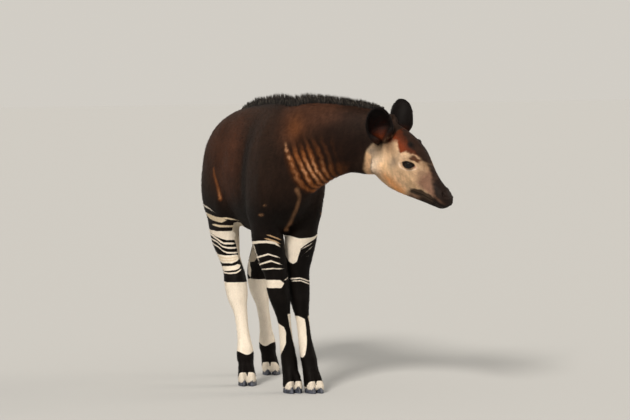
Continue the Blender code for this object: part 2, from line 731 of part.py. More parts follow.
def look(made):
    """The node's own material."""
    label, words, colour, rough = next(row for row in LOOKS if made.name.startswith(row[0]))
    material = bpy.data.materials.new(f"{words}_{made.name}")
    material.use_nodes = True
    surface = material.node_tree.nodes["Principled BSDF"]
    surface.inputs["Base Color"].default_value = (*colour, 1)
    surface.inputs["Roughness"].default_value = rough
    material.diffuse_color = (*colour, 1)
    made.data.materials.clear()
    made.data.materials.append(material)


def recentre(nodes):
    """Moves everything so that the origin is the middle of the footprint box, on the floor."""
    corners = [corner for made in nodes for corner in box_of(made)]
    low, high = ([pick(corner[axis] for corner in corners) for axis in range(3)] for pick in (min, max))
    for made in nodes:
        made.data.transform(Matrix.Translation((-(low[0] + high[0]) / 2, -(low[1] + high[1]) / 2, -low[2])))


def main():
    for old in list(bpy.data.objects):
        bpy.data.objects.remove(old)
    chance = Random(7)
    okapi = new_collection("okapi_calf")
    body = make_body(okapi)
    cut_face(body, okapi)
    grow_mane(body, chance)
    grow_tuft(body, chance)
    nodes = part_body(body, okapi)
    for limb in ("fore", "hind"):
        for side in ("right", "left"):
            for piece in make_leg(limb, side, okapi):
                nodes[piece.name] = piece
    for side, sign in (("right", -1), ("left", 1)):
        nodes["eye_" + side] = eye("eye_" + side, sign, okapi)
        made = ear("ear_" + side, side, okapi)
        for neighbour in ("head", "neck"):
            fit_ear(made, nodes[neighbour])
        nodes[made.name] = made
    for foot in FEET:
        for side, sign in (("right", -1), ("left", 1)):
            made = claw(f"hoof_{foot}_{side}_claw", foot, sign, okapi)
            nodes[made.name] = made
    for made in nodes.values():
        look(made)
    recentre(list(nodes.values()))


main()
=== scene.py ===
"""Looks of the okapi calf: its skin, coat, mane, tail hair, eyes, ears and hooves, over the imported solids.

The forms are worked out in the calf's own frame: metres, the origin on the floor under the withers, -Y ahead,
+X its left and +Z up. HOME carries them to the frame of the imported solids.
"""

from math import atan, cos, pi, radians, sin

import bmesh
import bpy
import numpy as np
from mathutils import Matrix, Vector
from mathutils.bvhtree import BVHTree
from mathutils.kdtree import KDTree


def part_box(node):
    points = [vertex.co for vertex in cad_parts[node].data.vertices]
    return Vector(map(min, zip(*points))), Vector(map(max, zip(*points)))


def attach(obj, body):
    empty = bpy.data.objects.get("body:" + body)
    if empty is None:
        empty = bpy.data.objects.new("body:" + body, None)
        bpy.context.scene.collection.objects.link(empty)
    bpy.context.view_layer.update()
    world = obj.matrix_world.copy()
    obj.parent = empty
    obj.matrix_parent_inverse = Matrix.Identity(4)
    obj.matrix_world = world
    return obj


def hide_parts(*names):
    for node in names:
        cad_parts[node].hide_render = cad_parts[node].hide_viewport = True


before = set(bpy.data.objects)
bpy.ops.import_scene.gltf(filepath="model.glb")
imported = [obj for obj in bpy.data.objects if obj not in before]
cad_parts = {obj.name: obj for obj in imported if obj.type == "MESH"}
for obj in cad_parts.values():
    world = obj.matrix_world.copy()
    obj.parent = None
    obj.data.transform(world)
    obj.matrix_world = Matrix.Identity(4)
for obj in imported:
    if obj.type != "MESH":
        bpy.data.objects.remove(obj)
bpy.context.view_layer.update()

bl_info = {
    "name": "Okapi calf",
    "version": (1, 0, 0),
    "blender": (4, 5, 0),
    "location": "View3D > Sidebar > Okapi",
    "description": "Builds the skin, coat, mane, eyes, ears and hooves of a standing okapi calf",
    "category": "Object",
}

# The trunk from the breastbone to the buttocks: y, top, bottom, half width, how much wider the top is
TRUNK = (
    (-0.175, 0.900, 0.760, 0.045, 0.00),
    (-0.140, 0.980, 0.690, 0.078, -0.06),
    (-0.080, 1.060, 0.635, 0.098, -0.14),
    (0.000, 1.108, 0.612, 0.108, -0.24),
    (0.100, 1.104, 0.597, 0.120, -0.20),
    (0.220, 1.092, 0.588, 0.136, -0.14),
    (0.340, 1.087, 0.602, 0.144, -0.08),
    (0.440, 1.077, 0.655, 0.148, -0.08),
    (0.530, 1.044, 0.710, 0.141, -0.11),
    (0.600, 0.990, 0.745, 0.110, -0.14),
    (0.640, 0.930, 0.785, 0.062, -0.06),
)

# The neck's middle line: x, y, z, half width, half height
NECK = (
    (0.000, 0.040, 0.900, 0.078, 0.165),
    (0.016, -0.085, 0.925, 0.078, 0.176),
    (0.072, -0.188, 0.961, 0.074, 0.151),
    (0.152, -0.270, 0.976, 0.065, 0.127),
    (0.226, -0.326, 0.966, 0.061, 0.122),
    (0.290, -0.368, 0.955, 0.056, 0.108),
)

# The head along its own axis: distance from the nape, top, bottom, half width, how much wider the top is
HEAD_LENGTH = 0.365
HEAD = (
    (-0.045, 0.045, -0.105, 0.044, 0.05),
    (0.000, 0.058, -0.134, 0.055, 0.08),
    (0.050, 0.066, -0.152, 0.063, 0.14),
    (0.100, 0.068, -0.156, 0.067, 0.20),
    (0.150, 0.064, -0.148, 0.066, 0.26),
    (0.200, 0.049, -0.130, 0.052, 0.24),
    (0.245, 0.031, -0.108, 0.042, 0.14),
    (0.290, 0.018, -0.085, 0.037, 0.06),
    (0.325, 0.011, -0.068, 0.038, 0.04),
    (0.350, 0.001, -0.056, 0.033, 0.02),
    (HEAD_LENGTH - 0.002, -0.012, -0.044, 0.020, 0.00),
)
HEAD_AT = np.array((0.271, -0.350, 1.000))
HEAD_TURN, HEAD_PITCH, HEAD_ROLL = radians(44), radians(42), radians(12)

# The legs from the top down: level, half width, half depth, then x and y of the right and of the left leg
FORELEGS = (
    (1.030, 0.0200, 0.0500, -0.0520, 0.040, 0.0520, 0.040),
    (0.930, 0.0340, 0.0880, -0.0760, 0.010, 0.0760, 0.010),
    (0.820, 0.0440, 0.1150, -0.0920, -0.012, 0.0920, -0.012),
    (0.720, 0.0500, 0.1100, -0.0920, 0.000, 0.0920, 0.004),
    (0.640, 0.0530, 0.0800, -0.0765, 0.010, 0.0850, 0.018),
    (0.580, 0.0620, 0.0660, -0.0660, 0.004, 0.0710, 0.018),
    (0.508, 0.0540, 0.0500, -0.0530, -0.007, 0.0605, 0.013),
    (0.469, 0.0470, 0.0450, -0.0425, -0.012, 0.0570, 0.012),
    (0.430, 0.0440, 0.0410, -0.0375, -0.018, 0.0590, 0.010),
    (0.392, 0.0430, 0.0400, -0.0352, -0.022, 0.0602, 0.008),
    (0.356, 0.0395, 0.0380, -0.0270, -0.025, 0.0620, 0.004),
    (0.317, 0.0320, 0.0315, -0.0178, -0.021, 0.0645, -0.004),
    (0.278, 0.0268, 0.0275, -0.0096, -0.017, 0.0680, -0.010),
    (0.239, 0.0262, 0.0270, -0.0037, -0.013, 0.0705, -0.016),
    (0.200, 0.0275, 0.0275, 0.0010, -0.010, 0.0730, -0.023),
    (0.161, 0.0300, 0.0305, 0.0085, -0.007, 0.0775, -0.030),
    (0.125, 0.0315, 0.0325, 0.0150, -0.005, 0.0835, -0.038),
    (0.085, 0.0312, 0.0315, 0.0165, -0.014, 0.0867, -0.047),
    (0.048, 0.0325, 0.0350, 0.0205, -0.025, 0.0930, -0.057),
    (0.012, 0.0330, 0.0370, 0.0215, -0.030, 0.0975, -0.061),
)
HIND_LEGS = (
    (0.970, 0.0300, 0.0600, -0.0700, 0.480, 0.0700, 0.480),
    (0.920, 0.0470, 0.0940, -0.0780, 0.474, 0.0780, 0.474),
    (0.860, 0.0610, 0.1230, -0.0845, 0.466, 0.0845, 0.472),
    (0.780, 0.0680, 0.1540, -0.0950, 0.458, 0.0950, 0.470),
    (0.690, 0.0630, 0.1480, -0.0970, 0.440, 0.1010, 0.468),
    (0.631, 0.0530, 0.1250, -0.0935, 0.440, 0.1040, 0.476),
    (0.591, 0.0530, 0.1040, -0.0910, 0.438, 0.1063, 0.488),
    (0.552, 0.0510, 0.0860, -0.0885, 0.428, 0.1074, 0.502),
    (0.513, 0.0460, 0.0700, -0.0860, 0.413, 0.1047, 0.522),
    (0.475, 0.0400, 0.0580, -0.0825, 0.395, 0.0982, 0.546),
    (0.437, 0.0395, 0.0510, -0.0770, 0.372, 0.0939, 0.564),
    (0.400, 0.0440, 0.0500, -0.0770, 0.350, 0.0978, 0.570),
    (0.362, 0.0440, 0.0440, -0.0770, 0.333, 0.0980, 0.563),
    (0.324, 0.0385, 0.0360, -0.0775, 0.316, 0.1000, 0.553),
    (0.286, 0.0290, 0.0300, -0.0750, 0.300, 0.1040, 0.544),
    (0.248, 0.0255, 0.0280, -0.0746, 0.285, 0.1070, 0.536),
    (0.211, 0.0250, 0.0270, -0.0748, 0.271, 0.1100, 0.527),
    (0.173, 0.0270, 0.0290, -0.0745, 0.256, 0.1105, 0.518),
    (0.136, 0.0335, 0.0320, -0.0750, 0.242, 0.1135, 0.510),
    (0.098, 0.0345, 0.0310, -0.0765, 0.233, 0.1140, 0.503),
    (0.048, 0.0350, 0.0350, -0.0750, 0.224, 0.1200, 0.494),
    (0.012, 0.0355, 0.0370, -0.0730, 0.222, 0.1240, 0.490),
)
LEGS = {
    "fore_right": (FORELEGS, 3),
    "fore_left": (FORELEGS, 5),
    "hind_right": (HIND_LEGS, 3),
    "hind_left": (HIND_LEGS, 5),
}
# Each foot: x, y and the turn of its toes, in degrees towards its left
FEET = {
    "fore_right": (0.0215, -0.032, 2),
    "fore_left": (0.0975, -0.063, 4),
    "hind_right": (-0.0730, 0.220, -16),
    "hind_left": (0.1240, 0.488, -22),
}
# Each toe from the fetlock down: level, distance from the foot's middle, half width, half depth
TOE = (
    (0.112, 0.0090, 0.0190, 0.0270),
    (0.085, 0.0122, 0.0182, 0.0290),
    (0.060, 0.0156, 0.0170, 0.0325),
    (0.036, 0.0184, 0.0166, 0.0350),
    (0.012, 0.0188, 0.0162, 0.0335),
)

# The tail's middle line: x, y, z, half width, half depth
TAIL = (
    (0.000, 0.585, 0.985, 0.026, 0.022),
    (0.000, 0.648, 0.950, 0.021, 0.018),
    (0.004, 0.685, 0.880, 0.014, 0.013),
    (0.007, 0.694, 0.790, 0.011, 0.011),
    (0.008, 0.693, 0.700, 0.010, 0.010),
    (0.008, 0.690, 0.650, 0.012, 0.012),
    (0.008, 0.688, 0.618, 0.008, 0.008),
)

# An ear from root to tip: place, share of the half width, and the half angle that its cup wraps round
EAR_LENGTH, EAR_HALF_WIDTH, EAR_WALL, EAR_FLOOR = 0.142, 0.0515, 0.0050, 0.36
EAR_SHAPE = (
    (0.00, 0.40, 125), (0.16, 0.66, 108), (0.34, 0.92, 90), (0.52, 1.00, 74),
    (0.70, 0.95, 62), (0.86, 0.76, 52), (0.96, 0.46, 44), (1.00, 0.20, 40),
)
EARS = {
    "right": ((-0.059, 0.013, -0.009), (-0.300, -0.420, 0.860), (-0.050, -0.966, 0.050)),
    "left": ((0.054, 0.016, -0.012), (0.240, 0.200, 0.940), (0.829, 0.486, 0.050)),
}

# Eyes, lids, nostrils and mouth, in the head's own directions: left, along and up
EYE_AT, EYE_RADIUS = (0.0490, 0.160, 0.002), 0.0185
LID_LONG, LID_HIGH, LID_THICKNESS, LID_SLANT = 0.0176, 0.0116, 0.0021, radians(30)
NOSTRIL_AT, NOSTRIL_SIZES = (0.0215, 0.331, 0.000), (0.0090, 0.0155, 0.0056)
NOSTRIL_SLANT, NOSTRIL_BEND = radians(-14), 9.0
MOUTH_LINE = (
    (0.0400, 0.222, -0.077), (0.0390, 0.240, -0.067), (0.0370, 0.270, -0.054), (0.0370, 0.297, -0.046),
    (0.0365, 0.325, -0.038), (0.0300, 0.346, -0.031), (0.0160, 0.360, -0.026), (0.0000, 0.364, -0.024),
)

# Forms that the lofts leave out, on both sides. Body: x, y, z, their radii and how far the skin stands out
BODY_FORMS = (
    (0.118, 0.405, 1.000, 0.030, 0.040, 0.030, 0.006),
    (0.140, 0.330, 0.880, 0.040, 0.050, 0.060, -0.007),
    (0.130, 0.560, 0.850, 0.040, 0.035, 0.060, 0.005),
    (0.105, 0.055, 0.690, 0.030, 0.030, 0.035, 0.006),
    (0.120, -0.080, 0.800, 0.040, 0.030, 0.050, 0.006),
    (0.115, 0.060, 0.930, 0.050, 0.040, 0.110, 0.008),
    (0.125, 0.150, 0.860, 0.050, 0.026, 0.160, -0.006),
    (0.090, -0.010, 1.010, 0.040, 0.024, 0.070, 0.004),
    (0.130, 0.300, 0.660, 0.040, 0.035, 0.040, -0.005),
    (0.150, 0.345, 0.700, 0.040, 0.028, 0.040, 0.006),
)
# Head: left, along, up, their radii and how far the skin stands out
HEAD_FORMS = (
    (0.052, 0.140, 0.022, 0.020, 0.030, 0.010, 0.0045),
    (0.050, 0.195, -0.034, 0.020, 0.040, 0.011, 0.0035),
    (0.046, 0.192, 0.004, 0.020, 0.018, 0.012, -0.0030),
    (0.068, 0.075, -0.080, 0.030, 0.042, 0.040, 0.0040),
    (0.046, 0.215, -0.075, 0.025, 0.034, 0.020, -0.0035),
    (0.066, 0.112, -0.030, 0.020, 0.016, 0.022, -0.0030),
    (0.026, 0.336, 0.004, 0.012, 0.018, 0.012, 0.0035),
    (0.034, 0.318, -0.022, 0.018, 0.026, 0.012, 0.0025),
    (0.000, 0.338, -0.058, 0.018, 0.020, 0.010, 0.0030),
    (0.000, 0.215, 0.044, 0.030, 0.035, 0.020, -0.0030),
    (0.034, 0.114, 0.058, 0.0085, 0.0085, 0.010, 0.0065),
    (0.000, 0.115, 0.067, 0.012, 0.060, 0.020, 0.0025),
)

# White markings of the legs. A band: half width, tone, then (angle round the leg, level) from end to end.
# The angle is 0 in front and grows towards the calf's left, so a right leg's outer side is at -90 degrees
BANDS = {
    "fore_right": (
        (0.0029, "ochre", ((-34, 0.611), (-10, 0.605), (14, 0.595), (47, 0.583))),
        (0.0029, "ochre", ((-44, 0.597), (-20, 0.592), (8, 0.582), (41, 0.566))),
        (0.0048, "white",
         ((-175, 0.560), (-109, 0.572), (-59, 0.580), (-28, 0.581), (3, 0.577), (34, 0.556))),
        (0.0031, "white", ((-170, 0.508), (-120, 0.514), (-78, 0.522), (-30, 0.535), (24, 0.517))),
        (0.0031, "white", ((-150, 0.484), (-86, 0.494), (-24, 0.508), (28, 0.491))),
        (0.0022, "white", ((-120, 0.470), (-84, 0.4745), (-28, 0.4800), (4, 0.4790), (30, 0.4780))),
        (0.0150, "white", ((-190, 0.426), (-100, 0.419), (-28, 0.421), (6, 0.420), (22, 0.424))),
        (0.0022, "white", ((10, 0.431), (40, 0.437), (75, 0.448))),
    ),
    "fore_left": (
        (0.0020, "white", ((-22, 0.543), (2, 0.556), (44, 0.578))),
        (0.0016, "white", ((-10, 0.521), (22, 0.548), (50, 0.566))),
        (0.0018, "white", ((12, 0.519), (30, 0.523))),
        (0.0015, "white", ((34, 0.495), (50, 0.500))),
        (0.0034, "white", ((60, 0.560), (110, 0.572), (175, 0.560))),
        (0.0030, "white", ((70, 0.520), (110, 0.514), (170, 0.508))),
        (0.0026, "white", ((-80, 0.433), (-11, 0.438), (38, 0.425), (100, 0.420), (190, 0.426))),
        (0.0024, "white", ((-70, 0.425), (-11, 0.427), (40, 0.414), (80, 0.408))),
    ),
    "hind_right": (
        (0.0030, "white", ((-215, 0.860), (-160, 0.846), (-112, 0.826))),
        (0.0034, "white", ((-220, 0.822), (-160, 0.806), (-110, 0.782))),
        (0.0030, "white", ((-220, 0.775), (-160, 0.750), (-134, 0.757), (-112, 0.733))),
        (0.0028, "white", ((-220, 0.744), (-165, 0.727), (-134, 0.732), (-108, 0.709))),
        (0.0034, "white", ((-222, 0.712), (-165, 0.698), (-127, 0.687), (-87, 0.678), (-60, 0.661))),
        (0.0040, "white", ((-222, 0.676), (-165, 0.664), (-127, 0.652), (-105, 0.653), (-88, 0.646))),
        (0.0100, "cream",
         ((-122, 0.648), (-100, 0.646), (-80, 0.6410), (-60, 0.6365), (-37, 0.6355), (-24, 0.6350))),
        (0.0034, "cream", ((-60, 0.6450), (-30, 0.6450), (-8, 0.6410), (14, 0.638))),
        (0.0050, "white", ((-225, 0.640), (-165, 0.634), (-140, 0.630))),
        (0.0042, "cream", ((-96, 0.6150), (-74, 0.6124), (-44, 0.6110), (-7, 0.6126), (20, 0.6140))),
        (0.0038, "white",
         ((-225, 0.580), (-120, 0.574), (-93, 0.5680), (-72, 0.5599), (-55, 0.5498), (-39, 0.5430),
          (24, 0.5423))),
        (0.0034, "white",
         ((-225, 0.562), (-92, 0.5525), (-69, 0.5446), (-50, 0.5305), (-30, 0.5257), (34, 0.5244))),
        (0.0029, "white",
         ((-225, 0.545), (-108, 0.5365), (-72, 0.5275), (-52, 0.5121), (-34, 0.5073), (-9, 0.5068),
          (41, 0.5083))),
        (0.0048, "white",
         ((-225, 0.505), (-106, 0.4985), (-81, 0.4915), (-55, 0.4912), (-21, 0.4925), (38, 0.4960))),
        (0.0034, "cream", ((-225, 0.500), (-106, 0.4920), (-81, 0.4860), (-21, 0.4860), (38, 0.4920))),
        (0.0040, "white", ((-225, 0.492), (-106, 0.4850), (-81, 0.4800), (-21, 0.4805), (38, 0.4900))),
        (0.0026, "cream", ((-225, 0.486), (-106, 0.4800), (-81, 0.4745), (-21, 0.4755), (38, 0.4870))),
        (0.0042, "white", ((-225, 0.480), (-106, 0.4745), (-81, 0.4690), (-21, 0.4700), (38, 0.4850))),
        (0.0086, "white",
         ((-225, 0.452), (-113, 0.4470), (-95, 0.4428), (-46, 0.4463), (-10, 0.4497), (32, 0.4610))),
        (0.0025, "white",
         ((-225, 0.428), (-82, 0.4286), (-48, 0.4275), (-11, 0.4312), (19, 0.4417), (35, 0.4497))),
    ),
}


# How far the levels of a mirrored marking waver, in metres
MIRROR_WAVER = 0.003


def mirrored(line):
    """A line of (angle, level) on the other side's leg, wavering a little, as no two legs match."""
    return tuple(sorted((-angle, level + MIRROR_WAVER * sin(radians(3 * angle))) for angle, level in line))


BANDS["hind_left"] = tuple((half, tone, mirrored(line)) for half, tone, line in BANDS["hind_right"]) + (
    (0.0034, "cream", ((-128, 0.484), (-112, 0.470), (-96, 0.455))),
)

# A patch: tone, its upper edge and its lower edge, each as (angle round the leg, level)
PATCHES = {
    "fore_right": (
        ("white", ((-97, 0.580), (-88, 0.580)), ((-97, 0.520), (-88, 0.498))),
    ),
    "hind_right": (
        ("white",
         ((-225, 0.592), (-121, 0.590), (-70, 0.590), (-38, 0.591), (-5, 0.593), (40, 0.600)),
         ((-225, 0.584), (-121, 0.580), (-89, 0.5736), (-53, 0.5618), (-27, 0.5567), (40, 0.557))),
        ("inside",
         ((0, 0.625), (60, 0.650), (126, 0.660)),
         ((0, 0.600), (12, 0.560), (24, 0.525), (38, 0.475), (50, 0.452), (126, 0.435))),
    ),
    "fore_left": (
        ("white",
         ((-160, 0.600), (-117, 0.605), (-69, 0.597), (-26, 0.589), (10, 0.592), (64, 0.603)),
         ((-160, 0.580), (-110, 0.540), (-62, 0.500), (-42, 0.491), (-25, 0.501), (-17, 0.550),
          (11, 0.572), (70, 0.602))),
    ),
}
PATCHES["hind_left"] = tuple(
    (tone, mirrored(upper), mirrored(lower)) for tone, upper, lower in PATCHES["hind_right"]
) + (
    ("white", ((-112, 0.466), (-90, 0.455), (-66, 0.420)), ((-112, 0.452), (-90, 0.400), (-66, 0.384))),
)

# The white of the cannon bones: lowest level, highest level, the dark stripe down the front of a foreleg as
# (level, angle of its right edge, angle of its left edge), and where and how far the white dips in front
CANNONS = {
    "fore_right": (0.139, 0.303, (
        (0.139, -100, 70), (0.166, -53, 64), (0.192, -23, 58), (0.234, -14, 36), (0.255, -28, 29),
        (0.266, -75, 26), (0.273, -200, 24), (0.303, -200, 18)), 0, 0.0),
    "fore_left": (0.136, 0.292, (
        (0.136, -60, 84), (0.149, -36, 80), (0.172, -18, 76), (0.202, -3, 72), (0.258, 4, 62), (0.280, 0, 45),
        (0.292, -50, 30)), 0, 0.0),
    "hind_right": (0.1325, 0.394, (), -5, 0.0105),
    "hind_left": (0.1300, 0.380, (), -35, 0.0150),
}
# The level that the white over each hoof reaches, before it is notched between the toes
CORONET_LEVEL = {"fore_right": 0.046, "fore_left": 0.048, "hind_right": 0.054, "hind_left": 0.052}

# Folds of loose skin round the neck: the station of each along the neck's line, low on the neck
FOLDS = (1.10, 1.305, 1.506, 1.730, 1.974, 2.228, 2.463, 2.733, 3.00, 3.28)

# The line of the mane in plan, from the nape to the loins, and its height as a share of the full height
MANE_LINE = (
    (0.262, -0.350, 0.60), (0.226, -0.326, 0.78), (0.152, -0.270, 0.90),
    (0.072, -0.188, 1.02), (0.016, -0.085, 1.20), (0.000, 0.040, 1.06),
    (0.000, 0.200, 0.98), (0.000, 0.340, 0.94), (0.000, 0.472, 0.50),
)
# The mane's full height, how far its roots stray to either side, and in how many clumps it stands
MANE_HEIGHT, MANE_STRAY, MANE_CLUMPS = 0.043, 0.0062, 150
TAIL_HAIRS, LASHES = 2600, 34

# A claw's length, half width and distance from the hoof's middle, and the coronet's levels fore and aft
CLAW_LENGTH, CLAW_HALF_WIDTH, CLAW_SPREAD = 0.074, 0.0172, 0.0190
CORONET_FRONT, CORONET_HEEL = 0.030, 0.021
# The wall of a hoof from the ground up: share of its height, and share of its full width
CLAW_PROFILE = (
    (0.00, 0.955), (0.05, 0.995), (0.14, 1.0), (0.30, 0.985), (0.46, 0.965),
    (0.62, 0.945), (0.78, 0.92), (0.91, 0.885), (1.0, 0.84), (1.03, 0.72),
)

FLESH_NODES = ["torso", "neck", "head", "tail", "ear_right", "ear_left"] + [
    f"{limb}leg_{side}_{level}"
    for limb in ("fore", "hind")
    for side in ("right", "left")
    for level in ("upper", "lower")
]

# Fore and hind legs lie on either side of this y; the head lies within a reach of the nape, left of an x
FORE_HIND_Y = 0.16
HEAD_REACH, HEAD_LEFT_OF = 0.42, 0.12
# Points that a form or a marking must not touch are worked out as if they lay this far away
FAR_AWAY = np.array((0, 0, 10))
# Depth inside a white marking where there is none near
NO_WHITE = -0.02


def srgb(text):
    """A linear colour from an sRGB hex value."""
    parts = [int(text[place:place + 2], 16) / 255 for place in (1, 3, 5)]
    return np.array([part / 12.92 if part <= 0.04045 else ((part + 0.055) / 1.055) ** 2.4 for part in parts])


# Colours of the hair, some of which paint light: the pale highlight on the neck's folds, the rump streaks and
# the foreleg's glints, the back's sheen, and the warm light reflected under the jaw
TONES = {
    "body": srgb("#261912"), "back": srgb("#35241b"), "rump": srgb("#492a1b"),
    "black": srgb("#0e0a08"), "neck": srgb("#4c3022"), "neck_dark": srgb("#1d100a"),
    "fold": srgb("#94562a"), "painted_highlight": srgb("#d09a70"), "brisket": srgb("#9c7150"),
    "face": srgb("#cbab89"), "cheek": srgb("#f0dfcb"), "gold": srgb("#fad5a7"),
    "face_grey": srgb("#877665"), "face_brown": srgb("#94765a"), "jaw": srgb("#e2a468"),
    "throat": srgb("#cda883"), "nose_side": srgb("#7b5b4b"), "bridge": srgb("#755a43"),
    "lip": srgb("#64493a"), "muzzle": srgb("#1e1410"), "forehead": srgb("#2b1c15"),
    "russet": srgb("#6e2c0c"), "russet_dark": srgb("#44200f"), "lid": srgb("#150d0a"),
    "ring": srgb("#cdb094"), "pink": srgb("#a8796a"), "ear": srgb("#120d0c"),
    "ear_inside": srgb("#1f0905"), "white": srgb("#efe5d6"), "cream": srgb("#dccaad"),
    "ochre": srgb("#c4a27c"), "grey": srgb("#8d8378"), "inside": srgb("#c6b9a5"),
}


def smooth(value, low, high):
    """0 below low, 1 above high and a smooth rise between them."""
    share = np.clip((value - low) / (high - low), 0, 1)
    return share * share * (3 - 2 * share)


def unit(vectors):
    """The vectors at length 1."""
    return vectors / np.maximum(np.linalg.norm(vectors, axis=-1, keepdims=True), 1e-12)


def both_sides(points):
    """The points with those of one side mirrored onto the other, so that one form serves both sides."""
    return np.column_stack([np.abs(points[:, 0]), points[:, 1], points[:, 2]])


def spline(rows, steps):
    """The rows with smoothly spaced rows added between them, by a Catmull-Rom curve."""
    rows = np.array(rows, float)
    ends = np.vstack([rows[:1], rows, rows[-1:]])
    t = np.arange(steps)[:, None] / steps
    dense = [
        0.5 * (2 * b + (c - a) * t + (2 * a - 5 * b + 4 * c - d) * t * t + (3 * b - a - 3 * c + d) * t ** 3)
        for a, b, c, d in zip(ends, ends[1:], ends[2:], ends[3:])
    ]
    return np.vstack(dense + [rows[-1:]])


def head_axes():
    """The head's own left, along and up directions, as rows."""
    ahead = np.array((sin(HEAD_TURN), -cos(HEAD_TURN), 0))
    upright = np.array((0, 0, 1))
    along = ahead * cos(HEAD_PITCH) - upright * sin(HEAD_PITCH)
    crown = ahead * sin(HEAD_PITCH) + upright * cos(HEAD_PITCH)
    left = np.cross(crown, along)
    return np.array((
        left * cos(HEAD_ROLL) + crown * sin(HEAD_ROLL), along, crown * cos(HEAD_ROLL) - left * sin(HEAD_ROLL),
    ))


HEAD_AXES = head_axes()


def on_head(points):
    """Points given in the head's own directions, in the calf's frame."""
    return HEAD_AT + np.asarray(points) @ HEAD_AXES


def in_head(points):
    """Points of the calf's frame in the head's own directions: left, along and up."""
    return (np.asarray(points) - HEAD_AT) @ HEAD_AXES.T


def eye_centre(side):
    """The middle of an eyeball: side is 1 on the calf's left and -1 on its right."""
    return on_head((side * EYE_AT[0], EYE_AT[1], EYE_AT[2]))


LOW_EYE, HIGH_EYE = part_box("eye_right")
HOME = np.array((LOW_EYE + HIGH_EYE) / 2) - eye_centre(-1)


def loft(stations, up, sides, steps):
    """A closed tube of unlike oval sections, as points and faces.

    A station is x, y, z, half width, half depth and, optionally, lean, which widens the up side.
    """
    rows = spline([row if len(row) == 6 else (*row, 0.0) for row in stations], steps)
    along = unit(np.gradient(rows[:, :3], axis=0))
    across = unit(np.cross(along, up))
    upward = np.cross(across, along)
    angle = 2 * pi * np.arange(sides) / sides
    wide = rows[:, 3, None] * np.sin(angle) * (1 + rows[:, 5, None] * np.cos(angle))
    deep = rows[:, 4, None] * np.cos(angle)
    points = rows[:, None, :3] + across[:, None] * wide[..., None] + upward[:, None] * deep[..., None]
    numbers = np.arange(len(rows) * sides).reshape(len(rows), sides)
    beside = np.roll(numbers, 1, axis=1)
    faces = np.stack([numbers[:-1], beside[:-1], beside[1:], numbers[1:]], -1).reshape(-1, 4).tolist()
    return points.reshape(-1, 3), faces + [numbers[0].tolist(), numbers[-1].tolist()]


def linked(name, data):
    """An object of this mesh, lamp or camera, linked to the scene."""
    made = bpy.data.objects.new(name, data)
    bpy.context.scene.collection.objects.link(made)
    return made


def new_object(name, points, faces):
    """A mesh object of these points and faces, linked to the scene."""
    mesh = bpy.data.meshes.new(name)
    mesh.from_pydata([tuple(point) for point in points], [], faces)
    return linked(name, mesh)


def choose_none():
    """Leaves no object selected."""
    for other in bpy.context.selected_objects:
        other.select_set(False)


def choose(made):
    """Makes this the only selected object and the active one."""
    choose_none()
    made.select_set(True)
    bpy.context.view_layer.objects.active = made


def apply_modifier(made, kind, **settings):
    """Adds a modifier with these settings and applies it."""
    modifier = made.modifiers.new(kind.title(), kind)
    for name, value in settings.items():
        setattr(modifier, name, value)
    choose(made)
    bpy.ops.object.modifier_apply(modifier=modifier.name)


def points_of(mesh):
    """The mesh's points as an array."""
    found = np.empty(len(mesh.vertices) * 3, np.float32)
    mesh.vertices.foreach_get("co", found)
    return found.reshape(-1, 3).astype(float)


def normals_of(mesh):
    """The directions that the mesh's points face, as an array."""
    found = np.empty(len(mesh.vertices) * 3, np.float32)
    mesh.vertex_normals.foreach_get("vector", found)
    return found.reshape(-1, 3).astype(float)


def move_points(mesh, points):
    """Puts the mesh's points where the array says."""
    mesh.vertices.foreach_set("co", points.astype(np.float32).ravel())
    mesh.update()


def settle(made, *nodes):
    """Carries a finished piece to its place. It rides with the body and stands for the named nodes."""
    made.data.transform(Matrix.Translation(Vector(HOME)))
    made.data.update()
    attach(made, "root")
    if nodes:
        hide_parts(*nodes)


# Where a point lies on the animal

def limb_at(leg, levels):
    """A leg's middle x and y, half width and half depth at these levels."""
    table, first = LEGS[leg]
    rows = np.array(table)[::-1]
    return [np.interp(levels, rows[:, 0], rows[:, column]) for column in (first, first + 1, 1, 2)]


def round_leg(leg, points):
    """For each point: its angle round the leg in degrees, and its distance as a share of the leg's radius."""
    x, y, wide, deep = limb_at(leg, points[:, 2])
    across, ahead = (points[:, 0] - x) / wide, -(points[:, 1] - y) / deep
    angle = np.degrees(np.arctan2(across, ahead))
    if leg.endswith("right"):
        angle = np.where(angle > 125, angle - 360, angle)
    else:
        angle = np.where(angle < -130, angle + 360, angle)
    return angle, np.hypot(across, ahead)


# Rows of the neck's line between two stations, and how many points are looked up on it at once
NECK_STEPS, POINTS_AT_ONCE = 16, 20000
NECK_ROWS = spline(NECK, NECK_STEPS)


def neck_place(points):
    """For each point: the station of the neck's line that it is nearest to, and its height over that line."""
    station = np.empty(len(points))
    height = np.empty(len(points))
    for start in range(0, len(points), POINTS_AT_ONCE):
        end = start + POINTS_AT_ONCE
        part = points[start:end]
        away = np.linalg.norm(part[:, None] - NECK_ROWS[None, :, :3], axis=2)
        nearest = away.argmin(1)
        centre = NECK_ROWS[nearest, :3]
        tangent = unit(np.gradient(NECK_ROWS[:, :3], axis=0))[nearest]
        step = np.linalg.norm(np.gradient(NECK_ROWS[:, :3], axis=0), axis=1)[nearest]
        ahead = ((part - centre) * tangent).sum(1) / step
        station[start:end] = (nearest + np.clip(ahead, -1, 1)) / NECK_STEPS
        height[start:end] = part[:, 2] - centre[:, 2]
    return station, height


